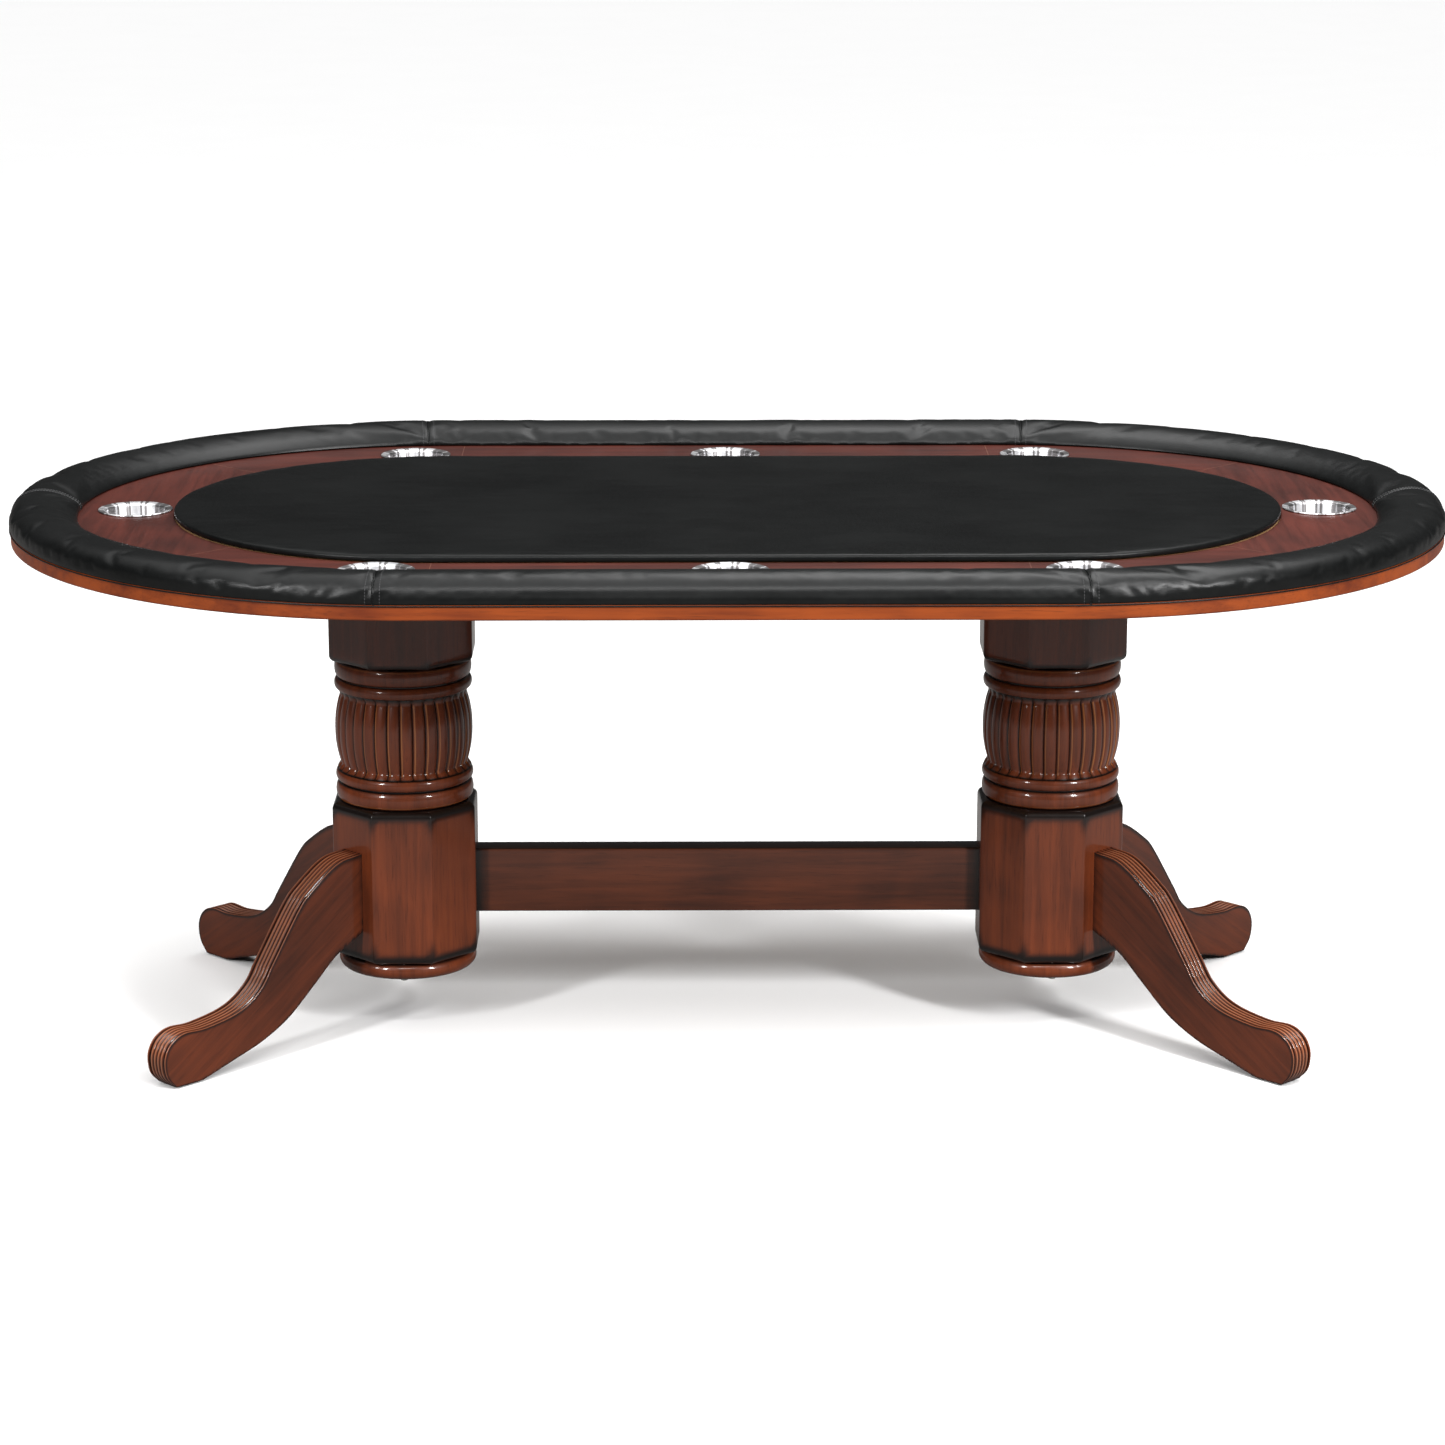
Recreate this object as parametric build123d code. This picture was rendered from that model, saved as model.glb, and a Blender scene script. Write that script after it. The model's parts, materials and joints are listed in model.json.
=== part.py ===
from build123d import *
import os
from math import cos, radians, sin

# A poker table with semicircular ends on two turned pedestals.
# Millimetres. Origin on the floor under the middle of the table, +Z up,
# +X along the table's length, -Y towards the front.

# ---------------------------------------------------------------- driving sizes
TABLE_LENGTH = 2080.0
TABLE_WIDTH = 1226.0
TABLE_HEIGHT = 802.0

RAIL_WIDTH = 100.0
RAIL_THICKNESS = 32.0
PLAYFIELD_INSET = 236.0      # table outline to playfield edge
PEDESTAL_SPACING = 956.0     # between the two column axes
COLUMN_FLATS = 209.6         # octagon, across flats
LEG_THICKNESS = 42.0
CUP_FLANGE_RADIUS = 54.0

# ---------------------------------------------------------------- levels of the top
RAIL_BOTTOM = TABLE_HEIGHT - RAIL_THICKNESS
BAND_HEIGHT = 26.0
BED_BOTTOM = RAIL_BOTTOM - BAND_HEIGHT
BED_THICKNESS = 18.0
BED_TOP = BED_BOTTOM + BED_THICKNESS
RACETRACK_THICKNESS = 11.0
RACETRACK_TOP = BED_TOP + RACETRACK_THICKNESS
BOARD_THICKNESS = 10.0
PAD_THICKNESS = 12.0
PAD_ROUND = 6.0              # along the pad's upper edge
CORE_THICKNESS = 20.0
BOARD_TOP = BED_TOP + BOARD_THICKNESS
PLAYFIELD_TOP = BOARD_TOP + PAD_THICKNESS
CORE_TOP = BED_TOP + CORE_THICKNESS

# ---------------------------------------------------------------- plan of the top
HALF_WIDTH = TABLE_WIDTH / 2
END_CENTRE = (TABLE_LENGTH - TABLE_WIDTH) / 2    # centre of each round end
BAND_SETBACK = 2.0
BAND_THICKNESS = 16.0
BED_INSET = BAND_SETBACK + BAND_THICKNESS
RAIL_TONGUE = 12.0           # width of the cushion's inner foot
CORE_INNER_INSET = RAIL_WIDTH - RAIL_TONGUE
PLAYFIELD_GAP = 0.5
BOARD_SETBACK = 2.0          # of the board, inside the pad's edge
PANEL_KERF = 0.8
PANEL_CROSS_SEAM = 410.0     # square seams of the racetrack, from the middle
RAIL_SEAM_ANGLE = 4.4        # sewn seams, degrees past the start of the round end
CUP_INSET = 177.0            # table outline to the cup centres
CORNER_CUP_ANGLE = 7.25      # degrees past the start of the round end
FAR = 2 * TABLE_LENGTH       # size of the cutting blocks

# ---------------------------------------------------------------- cup holders
CUP_HOLE_RADIUS = 47.0
CUP_RADIUS = 45.4
CUP_BASE_RADIUS = 42.4
CUP_DEPTH = 56.0
CUP_WALL = 1.2
CUP_LIP = 2.4
CUP_LIP_WIDTH = 1.6
CUP_SEAT_GAP = 0.1

# ---------------------------------------------------------------- under the bed
BATTEN_LENGTH = 1280.0
BATTEN_WIDTH = 24.0
BATTEN_HEIGHT = 50.0
BATTEN_OFFSET = 212.0        # from the middle of the table
PLATE_THICKNESS = 24.0
PLATE_SIDE = 300.0
PLATE_CORNER = 30.0

# ---------------------------------------------------------------- pedestals
MOULDING_BOTTOM = 85.0
MOULDING_HEIGHT = 25.0
MOULDING_RADIUS = 102.0
BASE_BOTTOM = MOULDING_BOTTOM + MOULDING_HEIGHT
BASE_TOP = 343.0
VASE_TOP = 555.0
HEAD_TOP = BED_BOTTOM - PLATE_THICKNESS
WALL = 26.0
COLUMN_ROUND = 5.0           # along the octagon's upright edges
COLUMN_END_ROUND = 9.0       # around its ends
FLAT = COLUMN_FLATS / 2      # column axis to a flat

RING_RADIUS = 101.0
RING_DEPTH = 4.0             # of the grooves beside the rings
NECK_RADIUS = 93.5
BARREL_RADIUS = 101.0
WIDE_RING = 27.0
NARROW_RING = 19.0
SHOULDER = 4.0               # between the rings and the barrel

STRETCHER_BOTTOM = 168.0
STRETCHER_HEIGHT = 97.0
STRETCHER_THICKNESS = 40.0
STRETCHER_EASE = 2.0         # along its long edges

LEG_TOP = 277.0              # where the leg meets the column
LEG_BOTTOM = 158.0
SOLE_START = 410.0           # column axis to the flat of the foot
SOLE_END = 458.0

# ---------------------------------------------------------------- fasteners
SCREW_RADIUS = 2.5
SCREW_HEAD_RADIUS = 5.0
SCREW_HEAD = 3.0
SCREW_COVER = 4.0            # wood left over a screw's tip
RAIL_SCREW_PLACES = (120, 320)
RAIL_SCREW_ANGLES = (20, 45, 70)
PANEL_SCREW_PLACES = (200, 380)
PANEL_SCREW_ANGLES = (30, 60)
BOARD_SCREW_PLACES = ((140, 330), (660, 130))
PLATE_SCREW_PLACES = ((-80, 125), (80, 125))
BATTEN_SCREW_PLACES = (150, 560)
BASE_SCREWS = 4
BASE_SCREW_REACH = 20.0
LEG_BOLT_REACH = 50.0        # into the leg, past the column's flat
STRETCHER_BOLT_REACH = 60.0
THREAD_END = 3.0             # of a bolt, past its nut
BOLT_RADIUS = 4.0
NUT_RADIUS = 7.5
NUT_HEIGHT = 6.5
WASHER_RADIUS = 10.0
WASHER_HEIGHT = 2.0
ROD_RADIUS = 6.0
ROD_HOLE_RADIUS = 6.5
ROD_NUT_RADIUS = 11.0
ROD_NUT_HEIGHT = 9.0
ROD_WASHER_RADIUS = 18.0
ROD_WASHER_HEIGHT = 3.0
ROD_POCKET_RADIUS = 20.0
ROD_POCKET_DEPTH = 15.0
ROD_TOP_END = 1.0            # of a rod, past its upper nut
GLIDE_RADIUS = 15.0
GLIDE_HEIGHT = 3.0
GLIDE_CENTRE = 434.0         # from the column axis
LEG_BOLT_LEVELS = (200.0, 245.0)
STRETCHER_BOLT_LEVELS = (192.0, 241.0)

SIDES = {"left": -1, "right": 1}
ROWS = {"front": -1, "back": 1}


# ---------------------------------------------------------------- helpers
def stadium(inset, bottom, top):
    """Plate with the table's outline, drawn in by inset."""
    outline = SlotCenterToCenter(2 * END_CENTRE, TABLE_WIDTH - 2 * inset)
    return Pos(0, 0, bottom) * extrude(outline, top - bottom)


def ring_plate(outer_inset, inner_inset, bottom, top):
    """Flat ring between two insets of the table's outline."""
    return stadium(outer_inset, bottom, top) - stadium(inner_inset, bottom - 1, top + 1)


def section_edge(points):
    """Inset and level pairs, as points of the upright section of the rim."""
    return [(HALF_WIDTH - inset, level) for inset, level in points]


def rim(section):
    """Carry an upright section all the way round the table."""
    start = Plane(origin=(0, 0, 0), x_dir=(0, -1, 0), z_dir=(-1, 0, 0))
    straight = extrude(start * section, END_CENTRE, both=True)
    turn = Plane(origin=(END_CENTRE, 0, 0), x_dir=(0, -1, 0), z_dir=(-1, 0, 0))
    bend = revolve(turn * section, Axis((END_CENTRE, 0, 0), (0, 0, 1)), 180)
    half = straight + bend
    return half + Rot(0, 0, 180) * half


def sector(points):
    """Tall block over a plan polygon, which picks one segment out of a ring."""
    return extrude(make_face(Polyline(*points, close=True)), TABLE_HEIGHT + 100)


def on_rim(side, row, angle, inset):
    """Plan point at an inset from the outline, angle degrees into a round end."""
    radius = HALF_WIDTH - inset
    return (
        side * (END_CENTRE + radius * sin(radians(angle))),
        row * radius * cos(radians(angle)),
    )


def rod(radius, start, end):
    """Round bar between two points."""
    axis = Vector(*end) - Vector(*start)
    return Plane(origin=start, z_dir=axis) * Cylinder(
        radius, axis.length, align=(Align.CENTER, Align.CENTER, Align.MIN)
    )


def hexagon_nut(radius, start, end):
    """Hexagonal bar between two points, for nuts and bolt heads."""
    axis = Vector(*end) - Vector(*start)
    return Plane(origin=start, z_dir=axis) * extrude(RegularPolygon(radius, 6), axis.length)


def wood_screw(x, y, head_level, tip_level):
    """Pan-head screw driven straight up into the wood."""
    seat = head_level + SCREW_HEAD
    head = rod(SCREW_HEAD_RADIUS, (x, y, head_level), (x, y, seat))
    return head + rod(SCREW_RADIUS, (x, y, seat), (x, y, tip_level))


def group(solids):
    """Several separate solids as one part."""
    return Compound(children=list(solids))


def drill(part, cutters):
    """Cut each of the cutters out of a part."""
    for cutter in cutters:
        part = part - cutter
    return part


# ---------------------------------------------------------------- plan of the segments
def rail_seam_points(side, row):
    """Inner and outer plan points of a sewn seam in the long side of the rail."""
    inner = on_rim(side, row, RAIL_SEAM_ANGLE, HALF_WIDTH)
    outer = on_rim(side, row, RAIL_SEAM_ANGLE, -TABLE_WIDTH)
    return inner, outer


def rail_sectors():
    """The six sewn lengths of the rail."""
    sectors = {}
    for row_name, row in ROWS.items():
        inner_l, outer_l = rail_seam_points(-1, row)
        inner_r, outer_r = rail_seam_points(1, row)
        sectors[f"{row_name}_middle"] = sector([inner_l, outer_l, outer_r, inner_r])
        for side_name, side in SIDES.items():
            inner, outer = rail_seam_points(side, row)
            corner = (side * FAR, row * FAR)
            sectors[f"{row_name}_{side_name}"] = sector([inner, outer, corner, (side * FAR, 0)])
    return sectors


def straight_and_end_sectors():
    """Two straight lengths and two half-round ends."""
    sectors = {}
    for row_name, row in ROWS.items():
        sectors[row_name] = sector([
            (-END_CENTRE, 0), (END_CENTRE, 0), (END_CENTRE, row * FAR), (-END_CENTRE, row * FAR),
        ])
    for side_name, side in SIDES.items():
        sectors[f"{side_name}_end"] = sector([
            (side * END_CENTRE, -FAR), (side * FAR, -FAR), (side * FAR, FAR), (side * END_CENTRE, FAR),
        ])
    return sectors


def racetrack_sectors():
    """Eight racetrack panels, one for each cup holder."""
    seam = PANEL_CROSS_SEAM
    sectors = {}
    for side_name, side in SIDES.items():
        middle = side * END_CENTRE
        far = middle + side * FAR
        sectors[f"{side_name}_end"] = sector([(middle, 0), (far, -FAR), (far, FAR)])
        for row_name, row in ROWS.items():
            sectors[f"{row_name}_{side_name}"] = sector([
                (side * seam, 0), (middle, 0), (far, row * FAR), (side * seam, row * FAR),
            ])
    for row_name, row in ROWS.items():
        sectors[f"{row_name}_middle"] = sector([(-seam, 0), (seam, 0), (seam, row * FAR), (-seam, row * FAR)])
    return sectors


def panel_kerfs():
    """Thin slots left between neighbouring racetrack panels."""
    kerfs = []
    for side in SIDES.values():
        for row in ROWS.values():
            cut = Box(PANEL_KERF, HALF_WIDTH, TABLE_HEIGHT)
            kerfs.append(Pos(side * PANEL_CROSS_SEAM, row * HALF_WIDTH / 2, BED_TOP) * cut)
            place = Pos(side * END_CENTRE, 0, BED_TOP) * Rot(0, 0, -45 * side * row)
            kerfs.append(place * (Pos(0, row * HALF_WIDTH / 2, 0) * cut))
    return kerfs


def cup_places():
    """Plan centre of each cup holder, by name."""
    places = {}
    for side_name, side in SIDES.items():
        places[f"{side_name}_end"] = on_rim(side, 1, 90, CUP_INSET)
        for row_name, row in ROWS.items():
            places[f"{row_name}_{side_name}"] = on_rim(side, row, CORNER_CUP_ANGLE, CUP_INSET)
    for row_name, row in ROWS.items():
        places[f"{row_name}_middle"] = (0.0, row * (HALF_WIDTH - CUP_INSET))
    return places


# ---------------------------------------------------------------- the top
def edge_band_ring():
    return ring_plate(BAND_SETBACK, BED_INSET, BED_BOTTOM, RAIL_BOTTOM)


def rail_core_ring():
    return ring_plate(BED_INSET, CORE_INNER_INSET, BED_TOP, CORE_TOP)


def rail_cushion_ring():
    crest = section_edge([
        (0, RAIL_BOTTOM + 9), (16, TABLE_HEIGHT - 6), (48, TABLE_HEIGHT), (80, TABLE_HEIGHT - 9),
        (RAIL_WIDTH, RACETRACK_TOP + 3),
    ])
    recess = section_edge([
        (RAIL_WIDTH, RACETRACK_TOP + 3), (RAIL_WIDTH - 1, RACETRACK_TOP), (CORE_INNER_INSET, RACETRACK_TOP),
        (CORE_INNER_INSET, CORE_TOP), (BED_INSET, CORE_TOP), (BED_INSET, RAIL_BOTTOM),
        (BAND_SETBACK, RAIL_BOTTOM), (0, RAIL_BOTTOM + 4), (0, RAIL_BOTTOM + 9),
    ])
    return rim(make_face(Spline(*crest) + Polyline(*recess)))


def racetrack_ring():
    ring = ring_plate(CORE_INNER_INSET, PLAYFIELD_INSET - PLAYFIELD_GAP, BED_TOP, RACETRACK_TOP)
    return drill(ring, panel_kerfs())


def cup_hole(x, y):
    return rod(CUP_HOLE_RADIUS, (x, y, BED_BOTTOM - 1), (x, y, TABLE_HEIGHT))


def playfield_pad():
    pad = stadium(PLAYFIELD_INSET, BOARD_TOP, PLAYFIELD_TOP)
    return fillet(pad.edges().group_by(Axis.Z)[-1], PAD_ROUND)


def cup_holder(x, y):
    """Pressed cup with a flat flange and a rolled lip."""
    wall_top = CUP_RADIUS - CUP_WALL
    wall_base = CUP_BASE_RADIUS - CUP_WALL
    lip = CUP_FLANGE_RADIUS - CUP_LIP_WIDTH
    outline = Polyline(
        (0, -CUP_DEPTH), (CUP_BASE_RADIUS, -CUP_DEPTH), (CUP_RADIUS, 0), (CUP_FLANGE_RADIUS, 0),
        (CUP_FLANGE_RADIUS, CUP_LIP), (lip, CUP_LIP), (lip, CUP_WALL), (wall_top, CUP_WALL),
        (wall_base, CUP_WALL - CUP_DEPTH), (0, CUP_WALL - CUP_DEPTH), close=True,
    )
    cup = revolve(Plane.XZ * make_face(outline), Axis.Z)
    return Pos(x, y, RACETRACK_TOP + CUP_SEAT_GAP) * cup


def batten(row):
    place = Pos(0, row * BATTEN_OFFSET, BED_BOTTOM - BATTEN_HEIGHT / 2)
    return place * Box(BATTEN_LENGTH, BATTEN_WIDTH, BATTEN_HEIGHT)


def top_plate(side):
    plate = Box(PLATE_SIDE, PLATE_SIDE, PLATE_THICKNESS)
    plate = chamfer(plate.edges().filter_by(Axis.Z), PLATE_CORNER)
    return Pos(side * PEDESTAL_SPACING / 2, 0, HEAD_TOP + PLATE_THICKNESS / 2) * plate


# ---------------------------------------------------------------- pedestals
def octagon(flats, bottom, top):
    corner_radius = flats / 2 / cos(radians(22.5))
    outline = Rot(0, 0, 22.5) * RegularPolygon(corner_radius, 8)
    return Pos(0, 0, bottom) * extrude(outline, top - bottom)


def column_block(bottom, top, rounded_ends):
    """Octagonal block with soft upright edges and rounded ends."""
    block = octagon(COLUMN_FLATS, bottom, top)
    block = fillet(block.edges().filter_by(Axis.Z), COLUMN_ROUND)
    for end in rounded_ends:
        block = fillet(block.edges().group_by(Axis.Z)[end], COLUMN_END_ROUND)
    return block


def column_head():
    head = column_block(VASE_TOP, HEAD_TOP, [0])
    pocket = rod(ROD_POCKET_RADIUS, (0, 0, HEAD_TOP - ROD_POCKET_DEPTH), (0, 0, HEAD_TOP + 1))
    return drill(head, [pocket, rod(ROD_HOLE_RADIUS, (0, 0, VASE_TOP - 1), (0, 0, HEAD_TOP))])


def column_vase():
    """Turned length: two rings, a swelling barrel, and two rings again."""
    flute_bottom = BASE_TOP + WIDE_RING + NARROW_RING
    flute_top = VASE_TOP - WIDE_RING - NARROW_RING
    groove = RING_RADIUS - RING_DEPTH

    def bead(low, high):
        return ThreePointArc((groove, low), (RING_RADIUS, (low + high) / 2), (groove, high))

    outline = (
        Line((0, BASE_TOP), (groove, BASE_TOP))
        + bead(BASE_TOP, BASE_TOP + WIDE_RING)
        + bead(BASE_TOP + WIDE_RING, flute_bottom)
        + Line((groove, flute_bottom), (NECK_RADIUS, flute_bottom + SHOULDER))
        + ThreePointArc(
            (NECK_RADIUS, flute_bottom + SHOULDER),
            (BARREL_RADIUS, (flute_bottom + flute_top) / 2),
            (NECK_RADIUS, flute_top - SHOULDER),
        )
        + Line((NECK_RADIUS, flute_top - SHOULDER), (groove, flute_top))
        + bead(flute_top, flute_top + NARROW_RING)
        + bead(flute_top + NARROW_RING, VASE_TOP)
        + Polyline((groove, VASE_TOP), (0, VASE_TOP), (0, BASE_TOP))
    )
    vase = revolve(Plane.XZ * make_face(outline), Axis.Z)
    return vase - rod(ROD_HOLE_RADIUS, (0, 0, BASE_TOP - 1), (0, 0, VASE_TOP + 1))


def column_base():
    base = column_block(BASE_BOTTOM, BASE_TOP, [0, -1])
    hollow = octagon(COLUMN_FLATS - 2 * WALL, BASE_BOTTOM - 1, BASE_TOP - WALL)
    return drill(base, [hollow, rod(ROD_HOLE_RADIUS, (0, 0, BASE_BOTTOM), (0, 0, BASE_TOP + 1))])


def base_moulding():
    """Turned disc with a bullnose edge, which closes the column."""
    nose = MOULDING_HEIGHT / 2
    outline = (
        Polyline((0, BASE_BOTTOM), (0, MOULDING_BOTTOM), (MOULDING_RADIUS - nose, MOULDING_BOTTOM))
        + ThreePointArc(
            (MOULDING_RADIUS - nose, MOULDING_BOTTOM),
            (MOULDING_RADIUS, MOULDING_BOTTOM + nose),
            (MOULDING_RADIUS - nose, BASE_BOTTOM),
        )
        + Line((MOULDING_RADIUS - nose, BASE_BOTTOM), (0, BASE_BOTTOM))
    )
    return revolve(Plane.XZ * make_face(outline), Axis.Z)


def leg():
    """Scrolled leg along +X of its column, from the flat of the column to the foot."""
    foot = GLIDE_HEIGHT
    top_edge = Spline(
        (FLAT, LEG_TOP), (150, 271), (200, 240), (225, 216), (275, 147), (300, 113), (340, 89),
        (400, 79), (440, 80),
    )
    toe = ThreePointArc((440, 80), (472, 62), (477, 40)) + Spline((477, 40), (472, 18), (SOLE_END, foot))
    bottom_edge = Spline(
        (SOLE_START, foot), (385, 10), (350, 20), (300, 35), (250, 59), (200, 98), (155, 134),
        (FLAT, LEG_BOTTOM),
    )
    outline = (
        top_edge + toe + Line((SOLE_END, foot), (SOLE_START, foot)) + bottom_edge
        + Line((FLAT, LEG_BOTTOM), (FLAT, LEG_TOP))
    )
    side = Plane.XZ * make_face(outline)
    return extrude(side, LEG_THICKNESS / 2, both=True)


def leg_place(side, row):
    """Place of a leg drawn along +X: under its column, turned out to a corner of the table."""
    heading = row * (90 - 45 * side)
    return Pos(side * PEDESTAL_SPACING / 2, 0, 0) * Rot(0, 0, heading)


def stretcher():
    length = PEDESTAL_SPACING - COLUMN_FLATS
    beam = Box(length, STRETCHER_THICKNESS, STRETCHER_HEIGHT)
    beam = fillet(beam.edges().filter_by(Axis.X), STRETCHER_EASE)
    return Pos(0, 0, STRETCHER_BOTTOM + STRETCHER_HEIGHT / 2) * beam


# ---------------------------------------------------------------- fasteners
def rail_screws():
    """Driven up through the bed into the rail core."""
    head_level = BED_BOTTOM - SCREW_HEAD
    tip_level = CORE_TOP - SCREW_COVER
    inset = (BED_INSET + CORE_INNER_INSET) / 2
    screws = []
    for side in SIDES.values():
        for row in ROWS.values():
            for x in RAIL_SCREW_PLACES:
                screws.append(wood_screw(side * x, row * (HALF_WIDTH - inset), head_level, tip_level))
            for angle in RAIL_SCREW_ANGLES:
                x, y = on_rim(side, row, angle, inset)
                screws.append(wood_screw(x, y, head_level, tip_level))
    return screws


def playfield_screws():
    """Driven up through the bed into the playfield board."""
    screws = []
    for side in SIDES.values():
        for row in ROWS.values():
            for x, y in BOARD_SCREW_PLACES:
                screws.append(wood_screw(side * x, row * y, BED_BOTTOM - SCREW_HEAD, BOARD_TOP - SCREW_COVER))
    return screws


def racetrack_screws():
    """Driven up through the bed into the racetrack panels."""
    places = []
    for side in SIDES.values():
        for row in ROWS.values():
            places += [on_rim(side, row, angle, CUP_INSET) for angle in PANEL_SCREW_ANGLES]
            places += [(side * x, row * (HALF_WIDTH - CUP_INSET)) for x in PANEL_SCREW_PLACES]
    tip_level = RACETRACK_TOP - SCREW_COVER
    return [wood_screw(x, y, BED_BOTTOM - SCREW_HEAD, tip_level) for x, y in places]


def bed_screws():
    """Hold the top plates and the battens up against the bed."""
    screws = []
    tip_level = BED_TOP - SCREW_COVER
    plate_head = HEAD_TOP - SCREW_HEAD
    batten_head = BED_BOTTOM - BATTEN_HEIGHT - SCREW_HEAD
    for side in SIDES.values():
        centre = side * PEDESTAL_SPACING / 2
        for row in ROWS.values():
            for x, y in PLATE_SCREW_PLACES:
                screws.append(wood_screw(centre + x, row * y, plate_head, tip_level))
            for x in BATTEN_SCREW_PLACES:
                screws.append(wood_screw(side * x, row * BATTEN_OFFSET, batten_head, tip_level))
    return screws


def column_solids(part):
    """One copy of a column part for each pedestal."""
    return {name: Pos(side * PEDESTAL_SPACING / 2, 0, 0) * part for name, side in SIDES.items()}


def tie_rod():
    """Threaded rod that draws the column together, with its nuts and washers."""
    top_seat = HEAD_TOP - ROD_POCKET_DEPTH
    low_seat = BASE_TOP - WALL
    top_nut = top_seat + ROD_WASHER_HEIGHT
    low_nut = low_seat - ROD_WASHER_HEIGHT
    low_end = low_nut - ROD_NUT_HEIGHT - THREAD_END
    top_end = top_nut + ROD_NUT_HEIGHT + ROD_TOP_END
    shank = rod(ROD_RADIUS, (0, 0, low_end), (0, 0, top_end))
    fittings = [
        rod(ROD_WASHER_RADIUS, (0, 0, top_seat), (0, 0, top_nut)),
        hexagon_nut(ROD_NUT_RADIUS, (0, 0, top_nut), (0, 0, top_nut + ROD_NUT_HEIGHT)),
        rod(ROD_WASHER_RADIUS, (0, 0, low_nut), (0, 0, low_seat)),
        hexagon_nut(ROD_NUT_RADIUS, (0, 0, low_nut - ROD_NUT_HEIGHT), (0, 0, low_nut)),
    ]
    return [shank] + [fitting - shank for fitting in fittings]


def leg_fastening(level):
    """Hanger bolt along +X from inside the column into the leg, with its nut and washer."""
    wall_face = FLAT - WALL
    nut_face = wall_face - WASHER_HEIGHT
    bolt = rod(BOLT_RADIUS, (nut_face - NUT_HEIGHT - THREAD_END, 0, level), (FLAT + LEG_BOLT_REACH, 0, level))
    washer = rod(WASHER_RADIUS, (nut_face, 0, level), (wall_face, 0, level)) - bolt
    nut = hexagon_nut(NUT_RADIUS, (nut_face - NUT_HEIGHT, 0, level), (nut_face, 0, level)) - bolt
    return bolt, washer, nut


def stretcher_bolt(level):
    """Bolt along +X from inside the left column into the end of the stretcher."""
    wall_face = FLAT - WALL
    head = hexagon_nut(NUT_RADIUS, (wall_face - NUT_HEIGHT, 0, level), (wall_face, 0, level))
    return head + rod(BOLT_RADIUS, (wall_face, 0, level), (FLAT + STRETCHER_BOLT_REACH, 0, level))


def base_screws():
    """Hold the base moulding under the column wall."""
    ring = FLAT - WALL / 2
    screws = []
    for step in range(BASE_SCREWS):
        angle = radians(360 * step / BASE_SCREWS)
        x, y = ring * cos(angle), ring * sin(angle)
        screws.append(wood_screw(x, y, MOULDING_BOTTOM, BASE_BOTTOM + BASE_SCREW_REACH))
    return screws


def foot_glide():
    return rod(GLIDE_RADIUS, (GLIDE_CENTRE, 0, 0), (GLIDE_CENTRE, 0, GLIDE_HEIGHT))


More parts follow.
